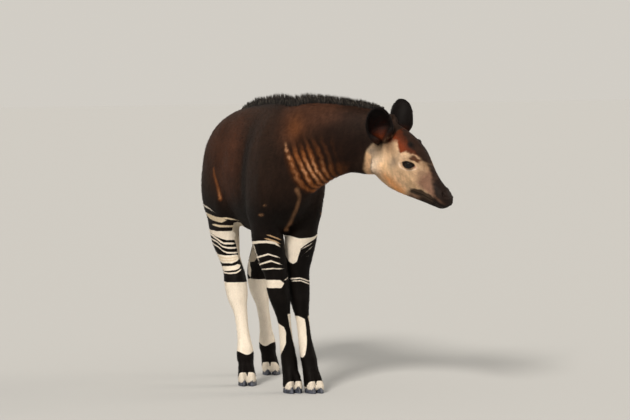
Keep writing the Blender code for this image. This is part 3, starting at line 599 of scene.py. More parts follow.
def regions(points):
    """Smooth weights and places that the shapes, the markings and the lie of the coat share."""
    place = in_head(points)
    station, height = neck_place(points)
    reach = np.linalg.norm(points - HEAD_AT, axis=1)
    head = smooth(place[:, 1], -0.012, 0.012) * (reach < HEAD_REACH) * (points[:, 0] > HEAD_LEFT_OF)
    over_legs = smooth(points[:, 2], 0.62, 0.74)
    neck = smooth(station, 0.85, 1.5) * (1 - head) * over_legs
    return {
        "place": place, "station": station, "height": height,
        "head": head, "neck": neck, "over_legs": over_legs,
    }


def mixed(colours, tone, weight):
    """The colours with a tone laid over them, as strongly as the weight says."""
    return colours + (TONES[tone] - colours) * np.clip(weight, 0, 1)[:, None]


def blob(points, centre, radii):
    """1 at the centre and falling smoothly to 0 past the radii."""
    return np.exp(-(((points - np.array(centre)) / np.array(radii)) ** 2).sum(1))


def bell(values, middle, width):
    """1 at the middle and falling smoothly to 0 on either side."""
    return np.exp(-(((values - middle) / width) ** 2))


def waver(points, period, seed):
    """A slow waver between -1 and 1, from a few crossing waves, so that edges don't run straight."""
    chance = np.random.default_rng(seed)
    total = np.zeros(len(points))
    for share in (1.0, 0.55, 0.3):
        direction = unit(chance.normal(size=3)) * 2 * pi / (period * share)
        total += share * np.sin(points @ direction + chance.uniform(0, 2 * pi))
    return total / 1.85


def line_distance(points, line, reach):
    """Distance to a line of close points; points that lie further off than the reach get the reach."""
    tree = KDTree(len(line))
    for number, spot in enumerate(line):
        tree.insert(spot, number)
    tree.balance()
    low, high = line.min(0) - reach, line.max(0) + reach
    away = np.full(len(points), reach, float)
    for number in np.flatnonzero(((points > low) & (points < high)).all(1)):
        away[number] = min(reach, tree.find(points[number])[2])
    return away


def folds(points, where):
    """The neck's folds: 1 on each crest and -1 in each valley, and how strong they are here."""
    station, height = where["station"], where["height"]
    leaning = station + 0.13 * smooth(height, -0.07, 0.04) * smooth(station, 1.45, 2.0)
    number = np.interp(leaning, FOLDS, np.arange(len(FOLDS)))
    bend = 0.17 * waver(points, 0.085, 7) + 0.06 * waver(points, 0.028, 8)
    crest = np.cos(2 * pi * (number + bend))
    strength = where["neck"] * smooth(height, 0.050, -0.035) * smooth(number, 0.3, 1.0)
    return crest, strength * smooth(number, 8.6, 4.5)


# The pale strip from the breast to between the forelegs, and the ochre streak on each rump, from end to end
BRISKET_STRIP = (
    (-0.014, -0.170, 0.783), (0.000, -0.163, 0.752), (0.001, -0.142, 0.721),
    (0.000, -0.108, 0.688), (0.002, -0.064, 0.655), (0.006, 0.000, 0.622),
)
RUMP_STREAK = ((0.147, 0.400, 0.837), (0.150, 0.384, 0.807), (0.149, 0.352, 0.765), (0.140, 0.336, 0.723))
# Short painted glints of light on the upper foreleg, each from end to end
GLINTS = (
    ((0.126, -0.058, 0.684), (0.114, -0.083, 0.685)),
    ((0.104, -0.101, 0.699), (0.090, -0.105, 0.700)),
    ((0.086, -0.097, 0.676), (0.076, -0.092, 0.674)),
    ((0.119, -0.092, 0.722), (0.111, -0.101, 0.721)),
)


def neck_colours(colours, points, where):
    """Lays the neck's russet and dark zones over the colours of the trunk, with painted highlights on the
    folds' crests and painted shade in their valleys.
    """
    station, height = where["station"], where["height"]
    neck = where["neck"]
    onset = smooth(station, 0.25, 2.4) * where["over_legs"] * (1 - where["head"])
    colours = mixed(colours, "neck", 0.95 * onset * smooth(height, 0.0, 0.085))
    colours = mixed(colours, "neck", 0.70 * neck * smooth(station, 2.1, 1.6) * smooth(height, -0.05, 0.04))
    dark_side = smooth(station, 1.9, 2.7) * smooth(height, 0.085, 0.035)
    colours = mixed(colours, "neck_dark", 0.85 * neck * dark_side)
    colours = mixed(colours, "neck_dark", 0.80 * neck * smooth(height, 0.03, -0.05))
    colours = mixed(colours, "body", 0.85 * neck * smooth(station, 2.4, 3.2) * smooth(height, -0.02, 0.05))
    throat = neck * smooth(height, -0.070, -0.105) * smooth(station, 1.3, 1.6) * smooth(station, 3.6, 2.2)
    colours = mixed(colours, "fold", 0.30 * throat)
    crest, strength = folds(points, where)
    crest = crest + 0.35 * waver(points, 0.020, 9)
    chance = 0.5 + 0.5 * waver(points, 0.060, 10)
    # Low on the neck the folds catch the most light: glow weights the painted highlights there and the orange
    # laid with them
    glow = smooth(height, 0.03, -0.06) * smooth(station, 2.5, 1.8)
    colours = mixed(colours, "fold", strength * (0.05 + 0.38 * glow))
    # Painted shade in the valleys between the folds
    valley = smooth(crest, 0.25, -0.6) * np.minimum(1.7 * strength, 1)
    colours = mixed(colours, "neck_dark", 0.85 * valley)
    # Painted highlight in orange-brown along each fold's crest
    ridge = smooth(crest, 0.30, 1.10) * strength
    colours = mixed(colours, "fold", ridge * (0.20 + 0.65 * glow) * (0.45 + 0.65 * chance))
    near = np.column_stack([station, height])
    colours = mixed(colours, "fold", 0.27 * neck * blob(near, (1.62, 0.066), (0.26, 0.044)))
    # Painted highlights: pale glints on the crests, brightest low on the neck and on the first fold
    pale = blob(near, (1.78, -0.098), (0.42, 0.038)) * (0.55 + 0.75 * chance)
    pale = pale + 1.2 * blob(near, (1.318, -0.014), (0.05, 0.034)) * smooth(crest, 0.70, 1.05)
    colours = mixed(colours, "neck_dark", 0.65 * neck * blob(near, (1.72, 0.016), (0.13, 0.020)))
    # The pale painted highlight is laid where the crests and these spots meet
    lit = smooth(crest, 0.55, 1.0) * np.minimum(pale, 1) * smooth(strength, 0, 0.3)
    return mixed(colours, "painted_highlight", 0.92 * lit)


def trunk_colours(points, where):
    """The dark coat of the trunk, neck and upper legs, with its redder zones and strips, painted sheen on the
    back, painted shade behind the shoulder and painted glints on the foreleg.
    """
    colours = np.tile(TONES["body"], (len(points), 1))
    y, z = points[:, 1], points[:, 2]
    side = both_sides(points)
    slow = waver(points, 0.16, 13)
    # Painted sheen: the top of the back lighter, where the light falls on it
    colours = mixed(colours, "back", 0.8 * smooth(z, 0.93, 1.08) * smooth(y, -0.05, 0.1))
    rump = blob(side, (0.125, 0.28, 0.90), (0.09, 0.10, 0.15))
    colours = mixed(colours, "rump", (1.0 + 0.25 * slow) * rump)
    colours = mixed(colours, "rump", 0.55 * blob(side, (0.12, 0.46, 0.93), (0.09, 0.12, 0.10)))
    colours = mixed(colours, "rump", 0.6 * blob(side, (0.14, 0.27, 0.74), (0.06, 0.045, 0.06)))
    # Painted sheen over the withers and the top of the shoulder
    colours = mixed(colours, "back", 0.55 * blob(side, (0.10, 0.02, 0.97), (0.06, 0.045, 0.13)))
    colours = mixed(colours, "black", 0.80 * smooth(z, 0.79, 0.67))
    # Painted shade: a dark band down the hollow behind the shoulder
    colours = mixed(colours, "black", 0.75 * blob(side, (0.11, 0.12, 0.84), (0.06, 0.035, 0.22)))
    ridge = smooth(side[:, 0], 0.050, 0.012) * smooth(z, 1.00, 1.05)
    colours = mixed(colours, "black", 0.75 * ridge * smooth(y, -0.12, 0.0) * smooth(y, 0.42, 0.32))
    colours = neck_colours(colours, points, where)
    away = line_distance(points, spline(BRISKET_STRIP, 12), 0.05)
    colours = mixed(colours, "brisket", 0.95 * smooth(away, 0.0150, 0.0010) * (0.85 + 0.3 * slow))
    for sign in (-1, 1):
        streak = np.array(RUMP_STREAK) * (sign, 1, 1)
        away = line_distance(points, spline(streak, 12), 0.05)
        width = np.interp(z, (0.72, 0.76, 0.84), (0.012, 0.015, 0.006)) * (1 + 0.3 * slow)
        share = away / width
        colours = mixed(colours, "fold", 0.62 * smooth(share, 1.0, 0.1))
        # Painted highlight on the lower end of each rump streak
        colours = mixed(colours, "painted_highlight", 0.45 * smooth(share, 0.45, 0.0) * smooth(z, 0.79, 0.74))
        # Painted glints of light on the upper foreleg
        for first, last in GLINTS:
            glint = np.linspace(first, last, 12) * (sign, 1, 1)
            away = line_distance(points, glint, 0.02)
            colours = mixed(colours, "painted_highlight", 0.75 * smooth(away, 0.0056, 0.0014))
    return colours


# The face's outlines as (up, along) or (along, up) in the head's own directions: the face's rear edge, the
# cheek's rear edge, the forehead's dark crest, the russet patch under the ear, and the muzzle's dark edge
FACE_EDGE = (
    (-0.150, 0.055), (-0.128, 0.036), (-0.112, 0.028), (-0.097, 0.022), (-0.082, 0.014),
    (-0.060, 0.006), (-0.030, 0.006), (0.000, 0.018), (0.020, 0.032), (0.040, 0.040),
)
CHEEK_EDGE = (
    (-0.140, 0.075), (-0.119, 0.066), (-0.108, 0.059), (-0.085, 0.047), (-0.069, 0.037), (-0.055, 0.020),
)
CREST_EDGE = (
    (0.000, 0.064), (0.059, 0.061), (0.093, 0.056), (0.130, 0.051), (0.148, 0.049),
    (0.170, 0.046), (0.190, 0.040), (0.213, 0.035), (0.235, 0.026), (0.262, 0.015),
)
RUSSET_EDGE = (
    (0.030, 0.042), (0.052, 0.030), (0.071, 0.032), (0.091, 0.022), (0.110, 0.018),
    (0.121, 0.032), (0.132, 0.040), (0.155, 0.043), (0.175, 0.048),
)
MUZZLE_EDGE = ((-0.035, 0.312), (-0.020, 0.303), (-0.010, 0.288), (0.005, 0.266), (0.020, 0.252))
# Soft zones of the face: tone, strength, middle and radii, in the head's own directions
FACE_ZONES = (
    ("cheek", 0.95, (0.07, 0.064, -0.090), (0.06, 0.030, 0.036)),
    ("gold", 0.90, (0.06, 0.094, -0.072), (0.05, 0.030, 0.026)),
    # Painted reflected light: warm orange under the jaw, as thrown up from the ground
    ("jaw", 0.75, (0.05, 0.134, -0.106), (0.05, 0.040, 0.022)),
    ("jaw", 0.95, (0.03, 0.180, -0.118), (0.05, 0.034, 0.022)),
    ("gold", 0.35, (0.05, 0.200, -0.050), (0.05, 0.030, 0.022)),
    ("face_grey", 1.00, (0.083, 0.024, -0.050), (0.05, 0.028, 0.026)),
    ("face_grey", 0.80, (0.068, 0.112, -0.028), (0.05, 0.017, 0.036)),
    ("face_brown", 0.85, (0.062, 0.062, 0.002), (0.05, 0.032, 0.020)),
    ("ring", 0.50, (0.062, 0.128, 0.012), (0.03, 0.020, 0.018)),
    ("nose_side", 0.50, (0.05, 0.212, 0.004), (0.04, 0.022, 0.024)),
    ("face_brown", 0.45, (0.05, 0.225, -0.052), (0.05, 0.030, 0.014)),
    ("neck_dark", 1.35, (0.090, 0.022, -0.002), (0.055, 0.026, 0.024)),
    ("russet_dark", 1.10, (0.055, 0.046, 0.022), (0.03, 0.016, 0.020)),
)


def edge_at(line, values):
    """The height of an outline at these values of its first direction."""
    return np.interp(values, *np.array(line).T)


def muzzle_colours(colours, side, wave):
    """Lays the grey and brown sides of the nose, the lips and the dark muzzle over the face."""
    along, up = side[:, 1], side[:, 2]
    nose = smooth(along + wave, 0.200, 0.238) * smooth(up, -0.052, -0.022)
    colours = mixed(colours, "nose_side", 0.95 * nose)
    colours = mixed(colours, "bridge", 0.8 * smooth(along, 0.165, 0.205) * smooth(up, 0.018, 0.036))
    mouth = np.interp(along, *np.array(MOUTH_LINE)[:6, 1:].T)
    above = up - mouth
    colours = mixed(colours, "lip", 0.9 * smooth(along, 0.200, 0.232) * smooth(above, -0.006, -0.014))
    top = np.interp(along, (0.21, 0.25, 0.30), (0.008, 0.019, 0.015))
    lip = smooth(along + wave, 0.204, 0.226) * smooth(above + wave - top, 0.005, -0.005)
    lip *= np.maximum(smooth(above, -0.016, -0.009), smooth(along, 0.246, 0.276))
    colours = mixed(colours, "muzzle", 0.94 * lip)
    colours = mixed(colours, "muzzle", smooth(along - edge_at(MUZZLE_EDGE, up) + 2 * wave, -0.016, 0.014))
    colours = mixed(colours, "lip", 0.6 * blob(side, (0.033, 0.325, -0.022), (0.03, 0.022, 0.0045)))
    return mixed(colours, "black", 0.9 * bell(above, 0, 0.0016) * smooth(along, 0.216, 0.226))


def crown_colours(colours, side, wave):
    """Lays the russet patch under the ear, the brow's streak and the dark forehead over the face."""
    along, up = side[:, 1], side[:, 2]
    patch = smooth(up + 1.8 * wave - edge_at(RUSSET_EDGE, along), -0.006, 0.007)
    patch = patch * smooth(along + wave, 0.182, 0.162)
    colours = mixed(colours, "russet", patch * smooth(along, 0.020, 0.045))
    deep = np.maximum(smooth(up, 0.034, 0.056), smooth(along, 0.112, 0.130))
    colours = mixed(colours, "russet_dark", 0.85 * patch * deep)
    middle = np.interp(along, (0.143, 0.167, 0.186), (0.032, 0.034, 0.038))
    brow = smooth(np.abs(up - middle + wave), 0.0095, 0.0050)
    brow = brow * smooth(along, 0.140, 0.154) * smooth(along, 0.192, 0.176)
    colours = mixed(colours, "russet_dark", 0.95 * brow)
    crest = smooth(up + wave - edge_at(CREST_EDGE, along), -0.0040, 0.0040) * smooth(along, 0.290, 0.250)
    colours = mixed(colours, "forehead", crest)
    return mixed(colours, "black", 1.1 * blob(side, (0.034, 0.115, 0.058), (0.013, 0.012, 0.011)))


def eye_colours(colours, side):
    """Lays the pale ring, the pink corner and the dark lids round the eye over the face."""
    eye = side - np.array(EYE_AT)
    near = eye[:, 0] > -0.03
    out = lid_reach(eye)
    low = smooth(eye[:, 2] - 0.45 * eye[:, 1], 0.010, -0.004)
    colours = mixed(colours, "nose_side", 0.45 * near * low * bell(out, 1.42, 0.22))
    colours = mixed(colours, "cheek", 0.38 * near * low * bell(out, 1.86, 0.24))
    colours = mixed(colours, "pink", 0.9 * near * blob(eye, (0.004, 0.0225, 0.0095), (0.02, 0.0060, 0.0042)))
    over = smooth(eye[:, 2] - 0.45 * eye[:, 1], -0.002, 0.004)
    return mixed(colours, "lid", near * smooth(out - 0.20 * over, 1.32, 1.12))


def face_colours(points, place):
    """The face: a buff ground, soft zones, the throat's edge with a painted shadow line along it, the muzzle,
    the crown and the eye's ring.
    """
    side = both_sides(place)
    along, up = side[:, 1], side[:, 2]
    wave = waver(points, 0.030, 3) * 0.0025
    colours = np.tile(TONES["face"], (len(points), 1))
    for tone, strength, centre, radii in FACE_ZONES:
        colours = mixed(colours, tone, strength * blob(side, centre, radii))
    behind = edge_at(CHEEK_EDGE, up) - along + wave
    colours = mixed(colours, "throat", smooth(behind, -0.001, 0.004) * smooth(up, -0.058, -0.070))
    colours = mixed(colours, "neck_dark", 0.85 * smooth(behind, 0.018, 0.036) * smooth(up, -0.050, -0.066))
    # Painted shadow: a thin dark line along the cheek's rear edge
    colours = mixed(colours, "forehead", 0.7 * bell(behind, 0, 0.0022) * smooth(up, -0.060, -0.072))
    colours = muzzle_colours(colours, side, wave)
    colours = crown_colours(colours, side, wave)
    return eye_colours(colours, side)


def lid_reach(eye):
    """How far out a point by the eye lies: 1 on the edge of the lids."""
    along = eye[:, 1] * cos(LID_SLANT) + eye[:, 2] * sin(LID_SLANT)
    up = eye[:, 2] * cos(LID_SLANT) - eye[:, 1] * sin(LID_SLANT)
    high = np.where(up > 0, LID_HIGH, LID_HIGH * 0.86)
    return np.hypot(along / LID_LONG, up / high)


# A band narrows to nothing over this many degrees at each end
TAPER_ANGLE = 26


def leg_marks(leg, points):
    """The white markings of one leg: the depth inside the nearest white, negative outside, and its tone."""
    angle, _ = round_leg(leg, points)
    level = points[:, 2] + waver(points, 0.045, 11) * 0.0010
    _, _, wide, deep = limb_at(leg, points[:, 2])
    radius = (wide + deep) / 2
    best = np.full(len(points), NO_WHITE)
    tones = np.tile(TONES["white"], (len(points), 1))

    def lay(depth, tone):
        nonlocal best
        better = depth > best
        best = np.where(better, depth, best)
        tones[better] = TONES[tone]

    for half, tone, line in BANDS.get(leg, ()):
        line = np.array(sorted(line))
        middle = np.interp(angle, line[:, 0], line[:, 1])
        past = np.maximum(line[0, 0] - angle, angle - line[-1, 0])
        taper = half * (1 - smooth(past, -TAPER_ANGLE, 0)) - np.maximum(past, 0) * 0.0006
        lay(np.where(past > -TAPER_ANGLE, np.minimum(taper, half), half) - np.abs(level - middle), tone)
    for tone, upper, lower in PATCHES.get(leg, ()):
        upper, lower = np.array(upper), np.array(lower)
        depth = np.minimum(np.interp(angle, *upper.T) - level, level - np.interp(angle, *lower.T))
        past = np.maximum(upper[0, 0] - angle, angle - upper[-1, 0])
        lay(np.minimum(depth, -past * 0.0008), tone)
    low, high, front, middle, dip = CANNONS[leg]
    depth = np.minimum(level - low + dip * bell(angle, middle, 40), high - level)
    if front:
        edges = np.array(front)
        right = np.interp(level, edges[:, 0], edges[:, 1])
        left = np.interp(level, edges[:, 0], edges[:, 2])
        depth = np.minimum(depth, np.maximum(right - angle, angle - left) * radius * pi / 180)
    lay(depth, "white")
    round_toes = np.abs((angle - FEET[leg][2] + 180) % 360 - 180)
    dome = CORONET_LEVEL[leg] - 0.018 * bell(round_toes, 0, 8)
    lay(dome - np.minimum(1.0e-5 * np.maximum(round_toes - 30, 0) ** 2, 0.024) - level, "white")
    return best, tones


def markings(points):
    """Colour of the coat, depth inside a white marking and the white's tone."""
    where = regions(points)
    colours = trunk_colours(points, where)
    head = where["head"][:, None]
    rear = np.interp(where["place"][:, 2], *np.array(FACE_EDGE).T)
    edge = smooth(where["place"][:, 1] - rear + waver(points, 0.05, 5) * 0.003, -0.004, 0.005)
    face = face_colours(points, where["place"])
    colours = colours * (1 - head) + (colours + (face - colours) * edge[:, None]) * head
    white = np.full(len(points), NO_WHITE)
    tones = np.tile(TONES["white"], (len(points), 1))
    lowest = np.full(len(points), 9.0)
    for leg in LEGS:
        _, out = round_leg(leg, points)
        if leg.startswith("hind"):
            limit, ceiling, mine = 1.35, 0.90, points[:, 1] >= FORE_HIND_Y
        else:
            limit, ceiling, mine = 1.55, 0.64, points[:, 1] <= FORE_HIND_Y
        mine &= (out < limit) & (out < lowest) & (points[:, 2] < ceiling) & (where["neck"] < 0.5)
        depth, tone = leg_marks(leg, points[mine])
        white[mine], tones[mine], lowest[mine] = depth, tone, out[mine]
    black = smooth(points[:, 2], 0.62, 0.56) * (where["head"] < 0.5)
    colours = mixed(colours, "black", 0.92 * black)
    return {"coat": colours, "pale": tones, "white": white}


def coat_lie(points, normals, where):
    """The way the hair points: back along trunk and neck, down the legs and up the face."""
    y, z = points[:, 1], points[:, 2]
    down = 0.25 + 0.9 * smooth(z, 0.98, 0.70) + 1.1 * smooth(y, 0.42, 0.60)
    lie = np.column_stack([np.zeros(len(points)), np.ones(len(points)), -down])
    tangent = unit(np.gradient(NECK_ROWS[:, :3], axis=0))
    index = np.clip((where["station"] * NECK_STEPS).astype(int), 0, len(NECK_ROWS) - 1)
    neck = -tangent[index] + np.array((0, 0, -0.75))
    lie = lie + (neck - lie) * where["neck"][:, None]
    lie = lie + (-HEAD_AXES[1] + 0.25 * np.array((0, 0, -1)) - lie) * where["head"][:, None]
    legs = smooth(z, 0.66, 0.56)[:, None]
    lie = lie + (np.array((0, 0.12, -1.0)) - lie) * legs
    lie -= normals * (lie * normals).sum(1)[:, None]
    return unit(lie)


# Building the skin

# While the skin is fused, the forelegs are held apart: how far, below which level, and how soon
SPREAD, SPREAD_TOP, SPREAD_RUN = 0.022, 0.606, 0.10
# Corners of a section of the body, of a leg, of a toe and of the tail, and rows between two stations
BODY_SIDES, LEG_SIDES, TOE_SIDES, TAIL_SIDES, LOFT_STEPS = 56, 40, 28, 24, 6
# How often the torso is evened out
TORSO_ROUNDS = 34


def foreleg_spread(levels):
    """How far each foreleg is held out sideways while the skin is fused, so that the two don't join."""
    return SPREAD * smooth(-levels, -SPREAD_TOP, -SPREAD_TOP + SPREAD_RUN)


def between_forelegs(levels):
    """The x midway between the forelegs at each level."""
    right = limb_at("fore_right", levels)[0]
    left = limb_at("fore_left", levels)[0]
    return (right + left) / 2


def foot_axes(leg):
    """The directions ahead and to the left of a foot."""
    turn = radians(FEET[leg][2])
    return np.array((sin(turn), -cos(turn), 0)), np.array((cos(turn), sin(turn), 0))


def toe(leg, sign):
    """One of the two toes of a foot, from inside the fetlock down to inside the hoof."""
    ahead, left = foot_axes(leg)
    stations = []
    for level, apart, wide, deep in TOE:
        x, y, _, _ = limb_at(leg, level)
        stations.append((*(np.array((x, y, level)) + left * sign * apart), wide, deep))
    return loft(stations, -ahead, TOE_SIDES, LOFT_STEPS)


def raw_skin(voxel):
    """The lofts of trunk, neck, head, tail and legs fused into one closed skin."""
    trunk = [(0, y, (top + low) / 2, wide, (top - low) / 2, lean) for y, top, low, wide, lean in TRUNK]
    head = [
        (*on_head((0, along, (top + low) / 2)), wide, (top - low) / 2, lean)
        for along, top, low, wide, lean in HEAD
    ]
    pieces = [
        loft(trunk, (0, 0, 1), BODY_SIDES, LOFT_STEPS),
        loft(NECK, (0, 0, 1), BODY_SIDES, LOFT_STEPS),
        loft(head, HEAD_AXES[2], BODY_SIDES, LOFT_STEPS),
        loft(TAIL, (0, 0, 1), TAIL_SIDES, LOFT_STEPS),
    ]
    for leg, (table, first) in LEGS.items():
        rows = [row for row in table if row[0] > TOE[2][0]]
        limb = loft(
            [(row[first], row[first + 1], row[0], row[1], row[2]) for row in rows],
            (0, 1, 0), LEG_SIDES, LOFT_STEPS,
        )
        for points, faces in (limb, toe(leg, -1), toe(leg, 1)):
            if leg.startswith("fore"):
                points[:, 0] += foreleg_spread(points[:, 2]) * (-1 if leg.endswith("right") else 1)
            pieces.append((points, faces))
    bm = bmesh.new()
    for points, faces in pieces:
        verts = [bm.verts.new(point) for point in points]
        for face in faces:
            bm.faces.new([verts[number] for number in face])
    bmesh.ops.recalc_face_normals(bm, faces=bm.faces)
    mesh = bpy.data.meshes.new("okapi_skin")
    bm.to_mesh(mesh)
    bm.free()
    made = linked("okapi_skin", mesh)
    apply_modifier(made, "REMESH", mode="VOXEL", voxel_size=voxel)
    apply_modifier(made, "SMOOTH", factor=0.5, iterations=3)
    points = points_of(made.data)
    fore = (points[:, 1] < FORE_HIND_Y) & (points[:, 2] < SPREAD_TOP)
    spread = foreleg_spread(points[:, 2]) * np.sign(points[:, 0] - between_forelegs(points[:, 2]))
    points[:, 0] -= np.where(fore, spread, 0)
    move_points(made.data, points)
    return made


def refine(made, is_fine):
    """Quarters the faces where the test says so."""
    bm = bmesh.new()
    bm.from_mesh(made.data)
    centres = np.array([face.calc_center_median() for face in bm.faces])
    chosen = is_fine(centres)
    faces = [face for face, wanted in zip(bm.faces, chosen) if wanted]
    edges = list({edge for face in faces for edge in face.edges})
    bmesh.ops.subdivide_edges(bm, edges=edges, cuts=1, use_grid_fill=True)
    centres = np.array([vert.co for vert in bm.verts])
    inside = [vert for vert, wanted in zip(bm.verts, is_fine(centres)) if wanted]
    bmesh.ops.smooth_vert(bm, verts=inside, factor=0.5, use_axis_x=True, use_axis_y=True, use_axis_z=True)
    bm.to_mesh(made.data)
    bm.free()


def is_detailed(points):
    """The head, the striped lengths of the legs and the feet."""
    x, y, z = points.T
    close = np.linalg.norm(points - HEAD_AT, axis=1) < HEAD_REACH
    head = (in_head(points)[:, 1] > -0.005) & close & (x > HEAD_LEFT_OF)
    feet = z < 0.065
    hind = (y > FORE_HIND_Y) & (((z > 0.41) & (z < 0.66)) | feet)
    fore = (y < FORE_HIND_Y) & (((z > 0.400) & (z < 0.62)) | feet)
    return head | hind | fore


def is_finest(points):
    """Round the eyes, the mouth and the nostrils."""
    side = both_sides(in_head(points))
    close = np.linalg.norm(points - HEAD_AT, axis=1) < HEAD_REACH
    eyes = np.linalg.norm(side - np.array(EYE_AT), axis=1) < 0.037
    over_mouth = side[:, 2] + 0.058 - 0.35 * (side[:, 1] - 0.26)
    muzzle = (side[:, 1] > 0.300) | ((side[:, 1] > 0.215) & (np.abs(over_mouth) < 0.014))
    return close & (eyes | muzzle)


def add_forms(points, normals, forms, place):
    """Swells or hollows the skin at each form, on both sides."""
    side = both_sides(place)
    lift = sum(form[6] * blob(side, form[:3], form[3:6]) for form in forms)
    return points + normals * lift[:, None]


def shape_legs(points, normals):
    """Tendon grooves, the hock's point and hollow, the front of the knee and the fetlock's ergot."""
    lift = np.zeros(len(points))
    level = points[:, 2]
    is_fore = points[:, 1] < FORE_HIND_Y
    for leg in LEGS:
        angle, out = round_leg(leg, points)
        turn = np.abs(angle)
        near = (out < 1.5) & (is_fore == leg.startswith("fore")) & (level < 0.60)
        groove = bell(turn, 118, 17) * smooth(level, 0.13, 0.17) * smooth(level, 0.32, 0.26)
        lift -= near * 0.0028 * groove
        if leg.startswith("hind"):
            lift += near * 0.010 * bell(turn, 180, 34) * bell(level, 0.418, 0.020)
            hollow = bell(turn, 128, 18) * bell(level, 0.478, 0.035)
            lift -= near * 0.006 * hollow
        else:
            lift += near * 0.0025 * bell(angle, 0, 46) * bell(level, 0.352, 0.022)
        lift += near * 0.0035 * bell(turn, 180, 40) * bell(level, 0.105, 0.014)
    return points + normals * lift[:, None]


def shape_mouth(points, normals, place):
    """The line of the mouth with its lips, the nostrils and the groove below them."""
    right = np.array(MOUTH_LINE)
    whole = np.vstack([right, right[-2::-1] * (-1, 1, 1)])
    line = spline(whole, 10)
    away = np.full(len(points), 1.0)
    front = np.flatnonzero(place[:, 1] > 0.2)
    away[front] = np.linalg.norm(place[front, None] - line[None], axis=2).min(1)
    lift = -0.0034 * bell(away, 0, 0.0020) + 0.0016 * bell(away, 0.0052, 0.0028)
    at = both_sides(place) - np.array(NOSTRIL_AT)
    along = at[:, 1] * cos(NOSTRIL_SLANT) + at[:, 2] * sin(NOSTRIL_SLANT)
    up = at[:, 2] * cos(NOSTRIL_SLANT) - at[:, 1] * sin(NOSTRIL_SLANT) - NOSTRIL_BEND * along ** 2
    reach = np.sqrt((along / NOSTRIL_SIZES[1]) ** 2 + (up / NOSTRIL_SIZES[2]) ** 2)
    near = (np.abs(at[:, 0]) < 0.022) & (place[:, 1] > 0.2)
    lift += near * (-0.0085 * smooth(reach, 1.0, 0.45) + 0.0016 * bell(reach, 1.28, 0.28))
    groove = 0.0018 * bell(place[:, 0], 0, 0.0022) * (place[:, 1] > 0.345)
    lift -= groove * smooth(place[:, 2], -0.026, -0.012)
    return points + normals * lift[:, None]


def shape_eyes(points, place):
    """Draws the skin over each eyeball as two lids, and sinks it behind the eyeball between them."""
    moved = place.copy()
    for side in (-1, 1):
        eye = place * (side, 1, 1) - np.array(EYE_AT)
        reach = np.linalg.norm(eye, axis=1)
        out = lid_reach(eye)
        near = (eye[:, 0] > -0.004) & (reach < 0.05)
        radius = EYE_RADIUS - 0.0030 + (LID_THICKNESS + 0.0030) * smooth(out, 0.96, 1.08)
        radius = radius + 0.0010 * bell(out, 1.16, 0.10)
        radius = radius - 0.0016 * bell(out, 1.52, 0.10) * (eye[:, 2] > 0)
        weight = near * (1 - smooth(out, 1.35, 2.15))
        target = np.array(EYE_AT) + unit(eye) * radius[:, None]
        moved += (target * (side, 1, 1) - moved) * weight[:, None]
    return points + (moved - place) @ HEAD_AXES


def coat_depth(points, where):
    """How deep the hair is at each point, so that the tips of the coat reach the solids' surface."""
    depth = 0.0028 + (0.0016 - 0.0028) * smooth(points[:, 2], 0.60, 0.48)
    depth = depth + (0.0013 - depth) * where["head"]
    return depth * (1 - where["head"] * smooth(where["place"][:, 1], 0.27, 0.32))


def relax(mesh, weights, rounds):
    """Evens out the surface where the weights say, by drawing each point towards its neighbours."""
    points = points_of(mesh)
    ends = np.empty(len(mesh.edges) * 2, np.int32)
    mesh.edges.foreach_get("vertices", ends)
    first, second = ends.reshape(-1, 2).T
    count = len(points)
    near = np.bincount(first, minlength=count) + np.bincount(second, minlength=count)
    for _ in range(rounds):
        total = np.column_stack([
            np.bincount(first, points[second, axis], count) + np.bincount(second, points[first, axis], count)
            for axis in range(3)
        ])
        points += (total / near[:, None] - points) * (0.6 * weights)[:, None]
    move_points(mesh, points)


def make_skin(voxel):
    """The whole skin but the ears: fused, evened out, refined and given its small forms."""
    made = raw_skin(voxel)
    points = points_of(made.data)
    where = regions(points)
    torso = smooth(points[:, 2], 0.62, 0.72) * smooth(where["station"], 2.0, 1.4)
    torso = torso * smooth(points[:, 1], 0.64, 0.58)
    relax(made.data, torso * (1 - where["head"]), TORSO_ROUNDS)
    refine(made, is_detailed)
    refine(made, is_finest)
    mesh = made.data
    points = points_of(mesh)
    normals = normals_of(mesh)
    where = regions(points)
    crest, strength = folds(points, where)
    points = points + normals * (0.0026 * crest * strength - coat_depth(points, where))[:, None]
    off_body = FAR_AWAY * (where["head"] > 0.01)[:, None]
    off_head = FAR_AWAY * (where["head"] < 0.01)[:, None]
    points = add_forms(points, normals, BODY_FORMS, points + off_body)
    points = add_forms(points, normals, HEAD_FORMS, in_head(points) + off_head)
    points = shape_legs(points, normals)
    move_points(mesh, points)
    normals = normals_of(mesh)
    points = shape_mouth(points, normals, in_head(points) + off_head)
    points = shape_eyes(points, in_head(points) + off_head)
    move_points(mesh, points)
    return made


# The ears

def ear_grid(side, columns, steps):
    """An ear's outer and inner wall as grids of points, with each point's place up the ear."""
    place, points_to, opens = EARS[side]
    axis = unit(np.array(points_to))
    across = unit(np.cross(axis, np.array(opens)))
    out = np.cross(across, axis)
    root = on_head(place)
    rows = spline(EAR_SHAPE, steps)
    share = 2 * np.arange(columns + 1) / columns - 1
    grids = []
    for inset in (0.0, 1.0):
        up, wide, wrap = (rows[:, column, None] for column in range(3))
        half = np.radians(wrap)
        radius = EAR_HALF_WIDTH * wide / np.sin(np.minimum(half, pi / 2))
        wall = inset * np.maximum(EAR_WALL * (1 - 0.45 * up), radius * (1.15 - up / EAR_FLOOR))
        angle = half * share * (1 - 0.035 * inset)
        reach = np.maximum(radius - wall, 0.1 * radius)
        bow = 0.012 * np.sin(pi * up)
        lift = EAR_LENGTH * up - EAR_WALL * inset * 0.6 * up
        grids.append(
            root + axis * (lift + 0 * angle)[..., None] + across * (reach * np.sin(angle))[..., None]
            + out * (radius - reach * np.cos(angle) - bow)[..., None]
        )
    return grids, rows[:, 0]


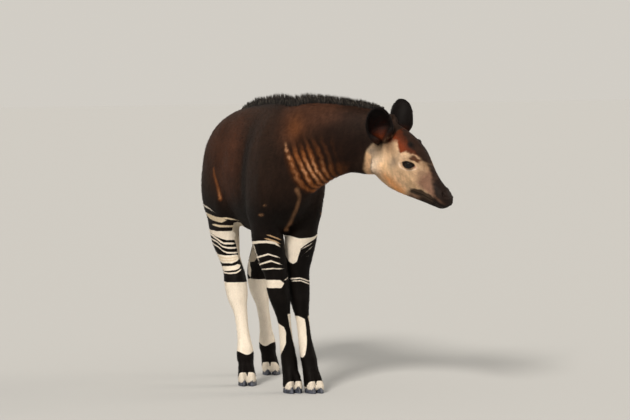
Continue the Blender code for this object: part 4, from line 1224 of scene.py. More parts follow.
def ear_mesh(side, columns=26, steps=4):
    """A closed ear, and for each of its points whether it is on the inside and how far up it lies."""
    (outer, inner), up = ear_grid(side, columns, steps)
    count = outer.shape[0] * outer.shape[1]
    numbers = np.arange(count).reshape(outer.shape[:2])
    wall = np.stack([numbers[:-1, :-1], numbers[:-1, 1:], numbers[1:, 1:], numbers[1:, :-1]], -1)
    wall = wall.reshape(-1, 4)
    faces = wall.tolist() + (wall[:, ::-1] + count).tolist()
    for row in range(len(up) - 1):
        for column in (0, columns):
            faces.append([numbers[row, column], numbers[row, column] + count,
                          numbers[row + 1, column] + count, numbers[row + 1, column]])
    for row in (0, len(up) - 1):
        for column in range(columns):
            faces.append([numbers[row, column], numbers[row, column + 1],
                          numbers[row, column + 1] + count, numbers[row, column] + count])
    points = np.vstack([outer.reshape(-1, 3), inner.reshape(-1, 3)])
    inside = np.repeat((0.0, 1.0), count)
    edge = np.abs(2 * np.tile(np.arange(columns + 1), len(up)) / columns - 1)
    return points, faces, inside, np.tile(np.repeat(up, columns + 1), 2), np.tile(edge, 2)


def join_ears(skin):
    """Unites the ears with the skin."""
    for side in ("right", "left"):
        points, faces, _, _, _ = ear_mesh(side)
        made = new_object("ear", points, faces)
        bm = bmesh.new()
        bm.from_mesh(made.data)
        bmesh.ops.recalc_face_normals(bm, faces=bm.faces)
        bmesh.ops.triangulate(bm, faces=bm.faces)
        bm.to_mesh(made.data)
        bm.free()
        apply_modifier(skin, "BOOLEAN", operation="UNION", object=made, solver="MANIFOLD")
        bpy.data.objects.remove(made)


def ear_places(points, marks):
    """For each point: how surely it is on an ear, whether inside, how far up it and how near its rim."""
    spots, inside, up, edge = marks
    tree = KDTree(len(spots))
    for number, spot in enumerate(spots):
        tree.insert(spot, number)
    tree.balance()
    found = np.zeros((len(points), 4))
    low, high = spots.min(0) - 0.01, spots.max(0) + 0.01
    for number in np.flatnonzero(((points > low) & (points < high)).all(1)):
        _, nearest, away = tree.find(points[number])
        found[number] = (float(smooth(away, 0.0065, 0.0030)) * float(smooth(up[nearest], 0.03, 0.14)),
                         inside[nearest], up[nearest], edge[nearest])
    return found.T


def ear_colours(colours, points, marks):
    """The colours with those of the ears laid over them: black outside, dark red-brown in the cup."""
    on_ear, inside, up, edge = ear_places(points, marks)
    colours = mixed(colours, "ear", on_ear)
    colours = mixed(colours, "russet_dark", 0.6 * on_ear * smooth(up, 0.34, 0.12))
    red = on_ear * inside * smooth(edge, 0.92, 0.50) * smooth(up, 0.86, 0.48)
    colours = mixed(colours, "ear_inside", red * (0.55 + 0.45 * waver(points, 0.022, 15)))
    low = on_ear * inside * smooth(up, 0.42, 0.16) * smooth(edge, 0.85, 0.45)
    return mixed(colours, "russet", 0.38 * low)


def store(mesh, name, values, kind="FLOAT"):
    """Keeps one value or colour for each point of the mesh."""
    attribute = mesh.attributes.new(name, kind, "POINT")
    if kind == "FLOAT_COLOR":
        values = np.column_stack([values, np.ones(len(values))])
        attribute.data.foreach_set("color", values.astype(np.float32).ravel())
    else:
        attribute.data.foreach_set("value", np.asarray(values, np.float32))


def store_marks(mesh, marks, shade):
    """Keeps the markings, and how much lighter or darker each point is, for the hair's material."""
    for name in ("coat", "pale"):
        store(mesh, name, marks[name], "FLOAT_COLOR")
    store(mesh, "white", marks["white"])
    store(mesh, "shade", shade)


# Materials

def add_node(tree, kind, inputs=None, **settings):
    """Adds one node with its settings; inputs gives a value or another node's output for each socket."""
    made = tree.nodes.new("ShaderNode" + kind)
    for name, value in settings.items():
        setattr(made, name, value)
    for socket, value in (inputs or {}).items():
        if isinstance(value, bpy.types.NodeSocket):
            tree.links.new(value, made.inputs[socket])
        else:
            made.inputs[socket].default_value = value
    return made


def new_material(name):
    """A material with its node tree and its shader."""
    material = bpy.data.materials.new(name)
    material.use_nodes = True
    return material, material.node_tree, material.node_tree.nodes["Principled BSDF"]


def hair_material(name, rough, bump):
    """Short hair: the stored markings, broken up at the size of single hairs, with hardly any sheen."""
    material, tree, surface = new_material(name)
    coat, pale, white, shade = (
        add_node(tree, "Attribute", attribute_name=word) for word in ("coat", "pale", "white", "shade")
    )
    where = add_node(tree, "TexCoord").outputs["Object"]
    ragged = add_node(tree, "TexNoise", {"Vector": where, "Scale": 260.0, "Detail": 2.0})
    shift = add_node(tree, "Math", {0: ragged.outputs[0], 1: -0.5}, operation="ADD")
    edge = {0: shift.outputs[0], 1: 0.0014, 2: white.outputs["Fac"]}
    edge = add_node(tree, "Math", edge, operation="MULTIPLY_ADD")
    is_white = {0: edge.outputs[0], 1: -0.0006, 2: 0.0006}
    is_white = add_node(tree, "MapRange", is_white, interpolation_type="SMOOTHSTEP")
    stretched = add_node(tree, "Mapping", {"Vector": where, "Scale": (60.0, 60.0, 24.0)})
    streak = add_node(tree, "TexNoise", {"Vector": stretched.outputs[0], "Scale": 1.0, "Detail": 4.0})
    streak = add_node(tree, "MapRange", {0: streak.outputs[0], 1: 0.3, 2: 0.75, 3: 0.80, 4: 1.30})
    tuft = add_node(tree, "Math", {0: shade.outputs["Fac"], 1: 1.0}, operation="ADD")
    bright = add_node(tree, "Math", {0: streak.outputs[0], 1: tuft.outputs[0]}, operation="MULTIPLY")
    base = {0: coat.outputs["Color"], "Scale": bright.outputs[0]}
    base = add_node(tree, "VectorMath", base, operation="SCALE")
    soft = add_node(tree, "Math", {0: shade.outputs["Fac"], 1: 0.45, 2: 1.0}, operation="MULTIPLY_ADD")
    whites = {0: pale.outputs["Color"], "Scale": soft.outputs[0]}
    whites = add_node(tree, "VectorMath", whites, operation="SCALE")
    colour = {"Factor": is_white.outputs[0], 6: base.outputs[0], 7: whites.outputs[0]}
    colour = add_node(tree, "Mix", colour, data_type="RGBA")
    tree.links.new(colour.outputs[2], surface.inputs["Base Color"])
    surface.inputs["Roughness"].default_value = rough
    surface.inputs["Specular IOR Level"].default_value = 0.10
    if bump:
        fine = add_node(tree, "Mapping", {"Vector": where, "Scale": (1100.0, 1100.0, 260.0)})
        hairs = add_node(tree, "TexNoise", {"Vector": fine.outputs[0], "Scale": 1.0, "Detail": 2.0})
        relief = add_node(tree, "Bump", {"Height": hairs.outputs[0], "Strength": 0.35, "Distance": bump})
        tree.links.new(relief.outputs[0], surface.inputs["Normal"])
    return material


def eye_material():
    """A wet eye: a near-black brown iris round a wide pupil, under a clear glossy cornea."""
    material, tree, surface = new_material("wet_eye")
    ring = add_node(tree, "Attribute", attribute_name="ring")
    colours = add_node(tree, "ValToRGB", {"Fac": ring.outputs["Fac"]})
    ramp = colours.color_ramp
    ramp.elements[0].color = (*srgb("#050404"), 1)
    ramp.elements[0].position = 0.42
    ramp.elements[1].color = (*srgb("#170c08"), 1)
    ramp.elements[1].position = 0.50
    for place, text in ((0.78, "#120a07"), (0.86, "#0c0706"), (1.0, "#1c1311")):
        ramp.elements.new(place).color = (*srgb(text), 1)
    tree.links.new(colours.outputs[0], surface.inputs["Base Color"])
    surface.inputs["Roughness"].default_value = 0.06
    surface.inputs["Specular IOR Level"].default_value = 0.24
    return material


def horn_material():
    """Hoof horn: dull blue-grey keratin with fine rings 2 mm apart and rubbed, paler patches."""
    material, tree, surface = new_material("hoof_horn")
    where = add_node(tree, "TexCoord").outputs["Object"]
    rings = add_node(tree, "TexWave", {"Vector": where, "Scale": 75.0, "Distortion": 2.0, "Detail": 2.0},
                     wave_type="BANDS", bands_direction="Z")
    wear = add_node(tree, "TexNoise", {"Vector": where, "Scale": 90.0, "Detail": 5.0})
    shade = add_node(tree, "ValToRGB", {"Fac": wear.outputs[0]})
    shade.color_ramp.elements[0].color = (*srgb("#171a22"), 1)
    shade.color_ramp.elements[0].position = 0.35
    shade.color_ramp.elements[1].color = (*srgb("#4b505f"), 1)
    shade.color_ramp.elements[1].position = 0.75
    tree.links.new(shade.outputs[0], surface.inputs["Base Color"])
    rough = add_node(tree, "MapRange", {0: wear.outputs[0], 3: 0.38, 4: 0.66})
    tree.links.new(rough.outputs[0], surface.inputs["Roughness"])
    relief = add_node(tree, "Bump", {"Height": rings.outputs[0], "Strength": 0.35, "Distance": 0.0004})
    tree.links.new(relief.outputs[0], surface.inputs["Normal"])
    return material


def floor_material():
    """A plain pale matt floor."""
    material, _, surface = new_material("pale_floor")
    surface.inputs["Base Color"].default_value = (*srgb("#b2b3b3"), 1)
    surface.inputs["Roughness"].default_value = 0.9
    return material


# Hair

# Where along a tuft it bends, as a share of its length, and the width of a tuft's patch on the skin's map
TUFT_BEND, UV_PATCH = 0.45, 0.003


def strip_mesh(name, points, loops, faces):
    """Many alike strips as one mesh: each one's points, its faces' corners and where each face starts."""
    count, size = points.shape[:2]
    mesh = bpy.data.meshes.new(name)
    mesh.vertices.add(count * size)
    mesh.vertices.foreach_set("co", points.astype(np.float32).ravel())
    corners = (np.arange(count)[:, None] * size + np.array(loops)).ravel()
    mesh.loops.add(len(corners))
    mesh.loops.foreach_set("vertex_index", corners.astype(np.int32))
    mesh.polygons.add(count * len(faces))
    starts = (np.arange(count)[:, None] * len(loops) + np.array(faces)).ravel()
    mesh.polygons.foreach_set("loop_start", starts.astype(np.int32))
    mesh.update(calc_edges=True)
    return linked(name, mesh)


def tuft_mesh(name, roots, normals, lie, lengths, widths, rises, skin_uv):
    """Flat tapered tufts as one mesh: each has a root, a bend and a tip, and bends over along its lie."""
    side = unit(np.cross(lie, normals))
    half = side * (widths / 2)[:, None]
    bend = roots + lie * (lengths * TUFT_BEND)[:, None] + normals * (rises * 0.75)[:, None]
    tip = roots + lie * lengths[:, None] + normals * rises[:, None]
    low = roots - normals * 0.0006
    points = np.stack([low - half, low + half, bend - half * 0.85, bend + half * 0.85, tip], 1)
    points[..., 2] = np.maximum(points[..., 2], 0.0006)
    made = strip_mesh(name, points, (0, 1, 3, 2, 2, 3, 4), (0, 4))
    mesh = made.data
    layer = mesh.uv_layers.new(name="OFBake")
    patch = np.array(((0, 0), (1, 0), (1, 0.5), (0, 0.5), (0, 0.5), (1, 0.5), (0.5, 1)))
    patch = patch * UV_PATCH - UV_PATCH / 2
    layer.uv.foreach_set("vector", (skin_uv[:, None] + patch).astype(np.float32).ravel())
    mesh.polygons.foreach_set("use_smooth", np.ones(len(mesh.polygons), bool))
    shown = np.repeat(unit(normals * 1.0 + lie * 0.10), points.shape[1], axis=0)
    mesh.normals_split_custom_set_from_vertices(shown)
    return made


class SkinSurface:
    """The finished skin as arrays, from which roots of hair are drawn."""

    def __init__(self, mesh, ears):
        mesh.calc_loop_triangles()
        count = len(mesh.loop_triangles)
        self.points = points_of(mesh) - HOME
        self.normals = normals_of(mesh)
        self.corners = np.empty(count * 3, np.int32)
        mesh.loop_triangles.foreach_get("vertices", self.corners)
        self.corners = self.corners.reshape(-1, 3)
        loops = np.empty(count * 3, np.int32)
        mesh.loop_triangles.foreach_get("loops", loops)
        uv = np.empty(len(mesh.loops) * 2, np.float32)
        mesh.uv_layers["OFBake"].uv.foreach_get("vector", uv)
        self.uv = uv.reshape(-1, 2)[loops].reshape(-1, 3, 2)
        a, b, c = (self.points[self.corners[:, corner]] for corner in range(3))
        self.areas = np.linalg.norm(np.cross(b - a, c - a), axis=1) / 2
        self.middles = (a + b + c) / 3
        self.ears = ears

    def roots(self, chance, weights, count):
        """Random roots on the skin, as dense as the weights of its triangles say."""
        share = self.areas * weights
        chosen = chance.choice(len(share), size=count, p=share / share.sum())
        first, second = chance.random((2, count))
        over = first + second > 1
        first, second = np.where(over, 1 - first, first), np.where(over, 1 - second, second)
        parts = np.column_stack([1 - first - second, first, second])
        corners = self.corners[chosen]
        roots = (self.points[corners] * parts[..., None]).sum(1)
        normals = unit((self.normals[corners] * parts[..., None]).sum(1))
        return roots, normals, (self.uv[chosen] * parts[..., None]).sum(1)


def turned(lie, normals, angles):
    """The directions turned on the skin by these angles."""
    return lie * np.cos(angles)[:, None] + np.cross(normals, lie) * np.sin(angles)[:, None]


def short_coat(surface, name, weights, count, length, width, rise, seed, material):
    """One piece of short coat over the part of the skin that the weights give."""
    chance = np.random.default_rng(seed)
    roots, normals, uv = surface.roots(chance, weights, count)
    where = regions(roots)
    lie = coat_lie(roots, normals, where)
    place = where["place"]
    eye = both_sides(place) - np.array(EYE_AT)
    lids = smooth(lid_reach(eye), 1.45, 1.15) * (eye[:, 0] > -0.02)
    bare = where["head"] * np.maximum(lids, smooth(place[:, 1], 0.318, 0.335))
    lengths = length(roots, where) * chance.uniform(0.7, 1.3, count)
    keep = bare < 0.5
    lie = turned(lie, normals, chance.normal(0, 0.16, count) + 0.20 * waver(roots, 0.05, 21))
    rises = rise * (lengths / 0.012) * chance.uniform(0.3, 1.3, count)
    widths = width * chance.uniform(0.7, 1.3, count)
    roots, normals, lie, lengths, widths, rises, uv = (
        part[keep] for part in (roots, normals, lie, lengths, widths, rises, uv)
    )
    made = tuft_mesh(name, roots, normals, lie, lengths, widths, rises, uv)
    stages = []
    for share in (0.0, TUFT_BEND, 1.0):
        spots = roots + lie * (lengths * share)[:, None]
        marks = markings(spots)
        marks["coat"] = ear_colours(marks["coat"], spots, surface.ears)
        stages.append(marks)
    order = (0, 0, 1, 1, 2)
    each = {}
    for key, first in stages[0].items():
        parts = np.stack([stages[stage][key] for stage in order], 1)
        each[key] = parts.reshape(-1, *first.shape[1:])
    shade = np.clip(chance.normal(0.0, 0.15, len(roots)), -0.4, 0.5)
    store_marks(made.data, each, np.repeat(shade, len(order)))
    made.data.materials.append(material)
    settle(made)


def ear_marks():
    """Where the points of both ears lie: each point, whether inside, how far up and how near the rim."""
    parts = []
    for side in ("right", "left"):
        points, _, inside, up, edge = ear_mesh(side)
        parts.append((points, inside, up, edge))
    return [np.concatenate(part) for part in zip(*parts)]


def skin_surface():
    """The finished skin, ready for hair to be rooted in it."""
    return SkinSurface(bpy.data.objects["okapi_skin"].data, ear_marks())


# The width of a long hair at its root and at each ring on the way to its tip, as a share of the full width
BLADE_TAPER = (1.0, 0.95, 0.7)


def blade_mesh(name, roots, grows, falls, side, lengths, widths):
    """Thin flat hairs as one mesh, and each point's place along its hair.

    Each hair leaves its root along grows and bends towards falls.
    """
    count, rings = len(roots), len(BLADE_TAPER)
    share = np.arange(rings + 1) / rings
    path = (
        roots[:, None]
        + grows[:, None] * (lengths[:, None] * share)[..., None]
        + falls[:, None] * (lengths[:, None] * share ** 2)[..., None]
    )
    half = side[:, None] * (widths[:, None] / 2 * np.array(BLADE_TAPER))[..., None]
    rails = np.stack([path[:, :-1] - half, path[:, :-1] + half], 2).reshape(count, -1, 3)
    points = np.concatenate([rails, path[:, -1:]], 1)
    size = points.shape[1]
    quads = [(2 * ring, 2 * ring + 1, 2 * ring + 3, 2 * ring + 2) for ring in range(rings - 1)]
    loops = [corner for quad in quads for corner in quad] + [size - 3, size - 2, size - 1]
    made = strip_mesh(name, points, loops, [4 * ring for ring in range(rings)])
    along = np.concatenate([np.repeat(share[:-1], 2), [1.0]])
    return made, np.tile(along, count)


def paint_blades(made, along, root_colour, tip_colours, start):
    """Colours each hair from its root to its own tip colour, which begins at this share of its length."""
    size = len(along) // len(tip_colours)
    share = smooth(along, start, 1.0)[:, None]
    colours = root_colour + (np.repeat(tip_colours, size, axis=0) - root_colour) * share
    store(made.data, "coat", colours, "FLOAT_COLOR")


def blade_material(name, rough):
    """Long stiff hair, coloured from root to tip, with a low sheen along it."""
    material, tree, surface = new_material(name)
    colour = add_node(tree, "Attribute", attribute_name="coat")
    tree.links.new(colour.outputs["Color"], surface.inputs["Base Color"])
    surface.inputs["Roughness"].default_value = rough
    surface.inputs["Specular IOR Level"].default_value = 0.20
    return material


def make_mane(count):
    """Short upright hair along the nape, neck and back, in clumps that lean back, black with grey tips."""
    chance = np.random.default_rng(41)
    surface = skin_surface()
    line = spline(MANE_LINE, 24)
    tree = BVHTree.FromPolygons(surface.points.tolist(), surface.corners.tolist())
    places = chance.uniform(0, len(line) - 1.01, count)
    index = places.astype(int)
    share = (places - index)[:, None]
    spots = line[index] + (line[index + 1] - line[index]) * share
    along = np.zeros((count, 3))
    along[:, :2] = unit(line[index + 1, :2] - line[index, :2])
    sideways = np.cross(along, (0, 0, 1))
    across = chance.normal(0, MANE_STRAY, count) * (1 + 0.7 * smooth(spots[:, 1], -0.15, 0.02))
    ridge = np.column_stack([spots[:, :2], np.zeros(count)]) + sideways * across[:, None]
    roots = np.empty((count, 3))
    normals = np.empty((count, 3))
    for number, (x, y, _) in enumerate(ridge):
        hit, normal, _, _ = tree.ray_cast(Vector((x, y, 1.5)), Vector((0, 0, -1)))
        roots[number], normals[number] = hit, normal
    clump = (places / len(line) * MANE_CLUMPS + chance.normal(0, 0.30, count)).astype(int)
    clump = np.minimum(clump, MANE_CLUMPS - 1)
    clump_lean = chance.normal(0, 0.13, MANE_CLUMPS)[clump]
    clump_side = chance.normal(0, 0.11, MANE_CLUMPS)[clump]
    clump_long = chance.uniform(0.94, 1.05, MANE_CLUMPS)[clump]
    centre = (clump + 0.5) * len(line) / MANE_CLUMPS
    pull = (centre - places) * 0.07 + chance.normal(0, 0.10, count)
    grows = unit(
        np.array((0, 0, 1.0)) + normals * 0.35 + sideways * (-across / 0.022 + clump_side)[:, None]
        + along * (0.24 + clump_lean + pull)[:, None]
    )
    falls = along * chance.uniform(0.05, 0.30, count)[:, None]
    thick = bell(across, 0, 0.0095)
    lengths = MANE_HEIGHT * spots[:, 2] * clump_long * chance.uniform(0.75, 1.05, count)
    lengths = lengths * (0.45 + 0.55 * thick)
    angle = chance.uniform(0, pi, count)
    turn = along * np.cos(angle)[:, None] + sideways * np.sin(angle)[:, None]
    widths = chance.uniform(0.0007, 0.0013, count)
    made, shares = blade_mesh("mane", roots - grows * 0.003, grows, falls, turn, lengths, widths)
    pale = chance.random(count) < 0.23 - 0.11 * smooth(spots[:, 1], -0.15, -0.02)
    grey = TONES["grey"] * chance.uniform(0.35, 1.0, (count, 1))
    tips = np.where(pale[:, None], grey, TONES["black"] * 1.5)
    paint_blades(made, shares, TONES["black"], tips, 0.45)
    made.data.materials.append(blade_material("mane_hair", 0.55))
    settle(made)


def make_tail_tuft(count):
    """Longer hair that hangs from the last part of the tail."""
    chance = np.random.default_rng(43)
    angle = chance.uniform(0, 2 * pi, count)
    out = np.column_stack([np.cos(angle), np.sin(angle), np.zeros(count)])
    level = 0.612 + 0.075 * chance.random(count) ** 0.8
    line = spline(TAIL, 8)[::-1]
    middle = np.column_stack([np.interp(level, line[:, 2], line[:, axis]) for axis in (0, 1)] + [level])
    radius = np.interp(level, line[:, 2], line[:, 3]) * 0.9
    roots = middle + out * radius[:, None]
    grows = unit(out * chance.uniform(0.05, 0.30, count)[:, None] + np.array((0, 0, -1.0)))
    falls = -out * chance.uniform(0.02, 0.16, count)[:, None]
    lengths = np.minimum(chance.uniform(0.030, 0.062, count), level - 0.588)
    side = np.cross(out, (0, 0, 1.0))
    widths = chance.uniform(0.0009, 0.0016, count)
    made, shares = blade_mesh("tail_tuft", roots, grows, falls, side, lengths, widths)
    tips = np.where((chance.random(count) < 0.15)[:, None], TONES["neck"], TONES["black"] * 1.3)
    paint_blades(made, shares, TONES["black"], tips, 0.3)
    made.data.materials.append(blade_material("tail_hair", 0.5))
    settle(made)


def make_lashes(count):
    """Lashes on the upper lids, curving outwards and down."""
    chance = np.random.default_rng(47)
    roots, grows, falls = [], [], []
    for side in (-1, 1):
        angle = np.linspace(radians(22), radians(168), count)
        along = np.cos(angle) * LID_LONG * 1.03
        up = np.sin(angle) * LID_HIGH * 1.05
        ahead = along * cos(LID_SLANT) - up * sin(LID_SLANT)
        above = up * cos(LID_SLANT) + along * sin(LID_SLANT)
        reach = EYE_RADIUS + LID_THICKNESS * 0.7
        out = np.sqrt(np.maximum(reach ** 2 - ahead ** 2 - above ** 2, 0))
        at = np.column_stack([out, ahead, above])
        aims = unit(np.column_stack([np.full(count, 1.0), ahead * 22, np.full(count, 0.10)]))
        mirror = np.array((side, 1, 1))
        roots.append(on_head((np.array(EYE_AT) + at) * mirror))
        grows.append((aims * mirror) @ HEAD_AXES)
        falls.append(np.tile(np.array((0.0, 0.02, -0.30)) @ HEAD_AXES, (count, 1)))
    roots, grows, falls = map(np.vstack, (roots, grows, falls))
    lengths = chance.uniform(0.0075, 0.0115, len(roots))
    turn = unit(np.cross(grows, HEAD_AXES[2]))
    made, shares = blade_mesh("lashes", roots, grows, falls, turn, lengths, np.full(len(roots), 0.0006))
    paint_blades(made, shares, TONES["black"], np.tile(TONES["black"], (len(roots), 1)), 0.5)
    made.data.materials.append(blade_material("lash_hair", 0.45))
    settle(made)


# Eyes and hooves

def make_eye(side, sign):
    """A ball with a bulge in front; iris and pupil are marked by how far each point is from the axis."""
    choose_none()
    bpy.ops.mesh.primitive_uv_sphere_add(segments=56, ring_count=36, radius=1.0)
    made = bpy.context.object
    made.name = f"eyeball_{side}"
    made.data.name = made.name
    points = points_of(made.data)
    tilt = np.arccos(np.clip(points[:, 2], -1, 1))
    bulge = 0.0013 * (1 - np.clip(tilt / radians(38), 0, 1) ** 2)
    gaze = unit(np.array((1.0, 0.16, 0.02)))
    level = unit(np.cross(gaze, (0, 0, 1.0)))
    upright = np.cross(level, gaze)
    along, up = points[:, 0], points[:, 1]
    pupil = np.hypot(along / 0.46, up / 0.30)
    iris = np.hypot(along, up) / 0.76
    ring = np.where(pupil < 1, 0.42 * pupil, np.clip(0.5 + 0.36 * (iris - 0.5) / 0.5, 0.5, 1.0))
    ring = np.where(points[:, 2] < 0, 1.0, ring)
    store(made.data, "ring", ring)
    turned_points = along[:, None] * level + up[:, None] * upright + points[:, 2:] * gaze
    local = (np.array(EYE_AT) + turned_points * (EYE_RADIUS + bulge)[:, None]) * (sign, 1, 1)
    move_points(made.data, on_head(local))
    if sign < 0:
        made.data.flip_normals()
    choose(made)
    bpy.ops.object.shade_smooth()
    return made


def coronet_level(foot, points):
    """The level of the hoof's upper edge, which falls from the toe to the heel."""
    ahead, _ = foot_axes(foot)
    slope = (CORONET_FRONT - CORONET_HEEL) / CLAW_LENGTH
    return (CORONET_FRONT + CORONET_HEEL) / 2 + slope * ((points[:, :2] - FEET[foot][:2]) @ ahead[:2])


def make_claw(foot, side, sign):
    """One half of a cloven hoof: a wall with a worn edge below and a soft edge at the coronet."""
    choose_none()
    bpy.ops.mesh.primitive_circle_add(vertices=44, radius=1.0, fill_type="NGON")
    made = bpy.context.object
    made.name = f"hoof_wall_{foot}_{side}"
    made.data.name = made.name
    bpy.ops.object.mode_set(mode="EDIT")
    bpy.ops.mesh.select_all(action="SELECT")
    for _ in CLAW_PROFILE[1:]:
        bpy.ops.mesh.extrude_region_move(TRANSFORM_OT_translate={"value": (0, 0, 1)})
    bpy.ops.object.mode_set(mode="OBJECT")
    points = points_of(made.data)
    ring = np.rint(points[:, 2] - points[:, 2].min()).astype(int)
    level, swell = np.array(CLAW_PROFILE)[ring].T
    angle = np.arctan2(points[:, 0], points[:, 1])
    x, y, _ = FEET[foot]
    ahead, left = foot_axes(foot)
    forward = np.cos(angle)
    fore = np.maximum(forward, 0)
    width = CLAW_HALF_WIDTH * np.sin(angle) * (1 - 0.34 * fore ** 1.5)
    length = CLAW_LENGTH / 2 * forward * swell - CLAW_LENGTH * 0.10 * level * fore
    out = sign * CLAW_SPREAD - 0.10 * sign * fore * CLAW_LENGTH / 2 + width * swell
    spots = np.array((x, y, 0)) + ahead * length[:, None] + left * out[:, None]
    spots[:, 2] = coronet_level(foot, spots) * level
    move_points(made.data, spots)
    bm = bmesh.new()
    bm.from_mesh(made.data)
    bmesh.ops.recalc_face_normals(bm, faces=bm.faces)
    bm.to_mesh(made.data)
    bm.free()
    choose(made)
    bpy.ops.object.shade_smooth_by_angle(angle=radians(50))
    return made


# The stage

# Where the camera stands, from the calf, and the photo's focal length, horizon and size in pixels
CAMERA_TURN, CAMERA_HEIGHT, CAMERA_DISTANCE, CAMERA_SIDE = radians(21), 1.45, 10.23, -0.115
FOCAL_PIXELS, HORIZON_ROW, FRAME_WIDTH, FRAME_HEIGHT = 2700.0, 11.0, 630.0, 420.0
SENSOR_WIDTH = 36


def place_camera():
    """Sets the camera where the photo's viewpoint was worked out to be."""
    right = Vector((cos(CAMERA_TURN), -sin(CAMERA_TURN), 0))
    away = Vector((sin(CAMERA_TURN), cos(CAMERA_TURN), 0))
    pitch = atan((FRAME_HEIGHT / 2 - HORIZON_ROW) / FOCAL_PIXELS)
    camera = linked("camera", bpy.data.cameras.new("camera"))
    camera.data.lens = FOCAL_PIXELS / FRAME_WIDTH * SENSOR_WIDTH
    camera.data.sensor_width = SENSOR_WIDTH
    camera.data.clip_end = 100
    place = Vector(HOME) - right * CAMERA_SIDE - away * CAMERA_DISTANCE
    camera.location = place + Vector((0, 0, CAMERA_HEIGHT))
    aim = away * cos(pitch) - Vector((0, 0, 1)) * sin(pitch)
    camera.rotation_euler = aim.to_track_quat("-Z", "Y").to_euler()
    bpy.context.scene.camera = camera


def add_sun(name, aim, energy, colour, spread):
    """A soft sun lamp that shines along aim; its spread is an angle in degrees."""
    light = bpy.data.lights.new(name, "SUN")
    light.energy = energy
    light.color = colour
    light.angle = radians(spread)
    linked(name, light).rotation_euler = Vector(aim).normalized().to_track_quat("-Z", "Y").to_euler()


# The add-on

QUICK_SHARE, FIRST_COAT_SEED = 0.2, 100


class OkapiSizes(bpy.types.PropertyGroup):
    """Sizes of the calf's surface and hair."""
    skin_step: bpy.props.FloatProperty(
        name="Skin step", description="How finely the skin is divided", default=0.0083, min=0.004, max=0.012,
        subtype="DISTANCE", unit="LENGTH")
    body_hair: bpy.props.FloatProperty(
        name="Body hair", description="Length of the hair of the trunk", default=0.0135, min=0.006, max=0.025,
        subtype="DISTANCE", unit="LENGTH")
    face_hair: bpy.props.FloatProperty(
        name="Face hair", description="Length of the hair of the face", default=0.0060, min=0.003, max=0.012,
        subtype="DISTANCE", unit="LENGTH")
    leg_hair: bpy.props.FloatProperty(
        name="Leg hair", description="Length of the hair of the legs", default=0.0068, min=0.004, max=0.015,
        subtype="DISTANCE", unit="LENGTH")
    thickness: bpy.props.FloatProperty(
        name="Thickness of the coat", description="Share of the tufts that are made", default=1.0,
        min=0.05, max=1.5, subtype="FACTOR")
    mane_hairs: bpy.props.IntProperty(
        name="Mane hairs", description="How many hairs the mane has", default=25000, min=500, max=40000)


class OkapiStage(bpy.types.PropertyGroup):
    """The light round the calf."""
    floor_size: bpy.props.FloatProperty(
        name="Floor", description="Width of the floor", default=60.0, min=4.0, max=100.0,
        subtype="DISTANCE", unit="LENGTH")
    sun_energy: bpy.props.FloatProperty(
        name="Main light", description="Strength of the main light", default=3.0, min=0.0, max=20.0)
    sky_energy: bpy.props.FloatProperty(
        name="Sky", description="Strength of the light from all round", default=0.75, min=0.0, max=5.0)


class MakeSkin(bpy.types.Operator):
    """Makes the skin of the body, head, ears, legs and tail as one closed surface with its markings"""
    bl_idname = "okapi.make_skin"
    bl_label = "Make the skin"

    def execute(self, context):
        skin = make_skin(context.scene.okapi_sizes.skin_step)
        join_ears(skin)
        points = points_of(skin.data)
        marks = markings(points)
        marks["coat"] = ear_colours(marks["coat"], points, ear_marks())
        store_marks(skin.data, marks, np.zeros(len(points)))
        skin.data.uv_layers.new(name="OFBake")
        choose(skin)
        bpy.ops.object.shade_smooth()
        bpy.ops.object.mode_set(mode="EDIT")
        bpy.ops.mesh.select_all(action="SELECT")
        bpy.ops.uv.smart_project(angle_limit=radians(66), island_margin=0.002)
        bpy.ops.object.mode_set(mode="OBJECT")
        skin.data.materials.clear()
        skin.data.materials.append(hair_material("short_hair_skin", 0.62, 0.0006))
        settle(skin, *FLESH_NODES)
        return {"FINISHED"}


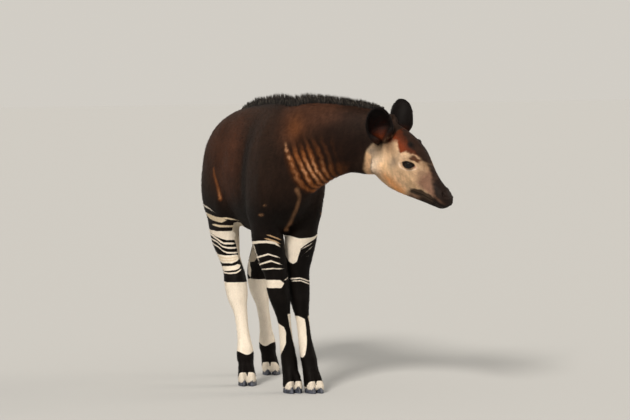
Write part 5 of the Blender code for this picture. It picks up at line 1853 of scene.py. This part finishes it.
class GrowCoat(bpy.types.Operator):
    """Grows the short coat over the skin, one piece for each region of the body"""
    bl_idname = "okapi.grow_coat"
    bl_label = "Grow the coat"

    def execute(self, context):
        sizes = context.scene.okapi_sizes
        surface = skin_surface()
        middles = surface.middles
        where = regions(middles)
        on_ear = ear_places(middles, surface.ears)[0] > 0.5
        head = (where["head"] > 0.5) & ~on_ear
        neck = (where["neck"] > 0.5) & ~head & ~on_ear
        x, y, z = middles.T
        tail = (y > 0.645) & (z < 0.955)
        legs = (z < 0.60) & ~head & ~tail
        fore, hind = legs & (y < FORE_HIND_Y), legs & (y >= FORE_HIND_Y)
        trunk = ~(on_ear | head | neck | tail | legs)
        thicker_low = 1 + 0.8 * smooth(z, 0.06, 0.03)
        body, face, leg = sizes.body_hair, sizes.face_hair, sizes.leg_hair
        material = hair_material("short_hair", 0.60, 0.0)

        def body_length(roots, where):
            striped = smooth(roots[:, 2], 0.69, 0.64)
            return body * (1 - 0.45 * striped + 0.15 * smooth(roots[:, 1], 0.45, 0.6))

        def face_length(roots, where):
            place = where["place"]
            jaw = smooth(place[:, 2], -0.09, -0.13) * smooth(place[:, 1], 0.25, 0.15)
            rear, nose = smooth(place[:, 1], 0.04, -0.01), smooth(place[:, 1], 0.2, 0.3)
            return face * (1 + 0.9 * jaw + 0.8 * rear - 0.25 * nose)

        def leg_length(roots, where):
            return leg * (1 + 0.2 * smooth(roots[:, 2], 0.065, 0.035))

        rows = (
            ("coat_trunk_right", trunk & (x < 0), 60000, body_length, 0.0023, 0.0034),
            ("coat_trunk_left", trunk & (x >= 0), 60000, body_length, 0.0023, 0.0034),
            ("coat_neck", neck, 60000, body_length, 0.0020, 0.0032),
            ("coat_head", head, 64000, face_length, 0.0011, 0.0026),
            ("coat_foreleg", fore, 66000, leg_length, 0.0014, 0.0036),
            ("coat_hindleg", hind, 66000, leg_length, 0.0014, 0.0036),
            ("coat_ear", on_ear, 24000, lambda roots, where: np.full(len(roots), 0.0072), 0.0011, 0.0026),
            ("coat_tail", tail, 6000, lambda roots, where: np.full(len(roots), 0.012), 0.0014, 0.0030),
        )
        for number, (name, chosen, count, length, width, rise) in enumerate(rows):
            count = int(count * sizes.thickness * (1))
            weights = chosen * thicker_low
            seed = FIRST_COAT_SEED + number
            short_coat(surface, name, weights, count, length, width, rise, seed, material)
        return {"FINISHED"}


class GrowMane(bpy.types.Operator):
    """Grows the mane, the tuft of the tail and the lashes"""
    bl_idname = "okapi.grow_mane"
    bl_label = "Grow the mane and long hair"

    def execute(self, context):
        make_mane(context.scene.okapi_sizes.mane_hairs)
        make_tail_tuft(TAIL_HAIRS)
        make_lashes(LASHES)
        return {"FINISHED"}


class MakeEyes(bpy.types.Operator):
    """Makes the two wet eyes"""
    bl_idname = "okapi.make_eyes"
    bl_label = "Make the eyes"

    def execute(self, context):
        material = eye_material()
        for side, sign in (("right", -1), ("left", 1)):
            made = make_eye(side, sign)
            made.data.materials.append(material)
            settle(made, f"eye_{side}")
        return {"FINISHED"}


class MakeHooves(bpy.types.Operator):
    """Makes the eight halves of the hooves"""
    bl_idname = "okapi.make_hooves"
    bl_label = "Make the hooves"

    def execute(self, context):
        material = horn_material()
        for foot in FEET:
            for side, sign in (("right", -1), ("left", 1)):
                made = make_claw(foot, side, sign)
                made.data.materials.append(material)
                settle(made, f"hoof_{foot}_{side}_claw")
        return {"FINISHED"}


class SetStage(bpy.types.Operator):
    """Sets up the floor, the lights and the camera"""
    bl_idname = "okapi.set_stage"
    bl_label = "Set the stage"

    def execute(self, context):
        stage = context.scene.okapi_stage
        choose_none()
        bpy.ops.mesh.primitive_plane_add(size=stage.floor_size, location=(0, 0, 0))
        floor = context.object
        floor.name = "floor"
        floor.data.materials.append(floor_material())
        world = bpy.data.worlds.new("studio")
        world.use_nodes = True
        background = world.node_tree.nodes["Background"]
        background.inputs["Color"].default_value = (*srgb("#eee9e0"), 1)
        background.inputs["Strength"].default_value = stage.sky_energy
        context.scene.world = world
        add_sun("main_light", (0.55, 0.55, -0.62), stage.sun_energy, (1.0, 0.93, 0.84), 14)
        add_sun("side_light", (-0.80, 0.10, -0.35), stage.sun_energy * 0.35, (1.0, 0.90, 0.78), 30)
        place_camera()
        context.scene.view_settings.view_transform = "Standard"
        return {"FINISHED"}


OPERATORS = (MakeSkin, GrowCoat, GrowMane, MakeEyes, MakeHooves, SetStage)


class OkapiPanel(bpy.types.Panel):
    """Lists the steps that build the calf"""
    bl_idname = "OKAPI_PT_panel"
    bl_label = "Okapi calf"
    bl_space_type = "VIEW_3D"
    bl_region_type = "UI"
    bl_category = "Okapi"

    def draw(self, context):
        for group in (context.scene.okapi_sizes, context.scene.okapi_stage):
            for name in group.bl_rna.properties.keys():
                if name not in ("rna_type", "name"):
                    self.layout.prop(group, name)
        for operator in OPERATORS:
            self.layout.operator(operator.bl_idname)


CLASSES = (OkapiSizes, OkapiStage, *OPERATORS, OkapiPanel)


def register():
    for each in CLASSES:
        bpy.utils.register_class(each)
    bpy.types.Scene.okapi_sizes = bpy.props.PointerProperty(type=OkapiSizes)
    bpy.types.Scene.okapi_stage = bpy.props.PointerProperty(type=OkapiStage)


def unregister():
    del bpy.types.Scene.okapi_sizes
    del bpy.types.Scene.okapi_stage
    for each in reversed(CLASSES):
        bpy.utils.unregister_class(each)


def main():
    register()
    bpy.ops.okapi.make_skin()
    bpy.ops.okapi.grow_coat()
    bpy.ops.okapi.grow_mane()
    bpy.ops.okapi.make_eyes()
    bpy.ops.okapi.make_hooves()
    bpy.ops.okapi.set_stage()


if __name__ == "__main__":
    main()
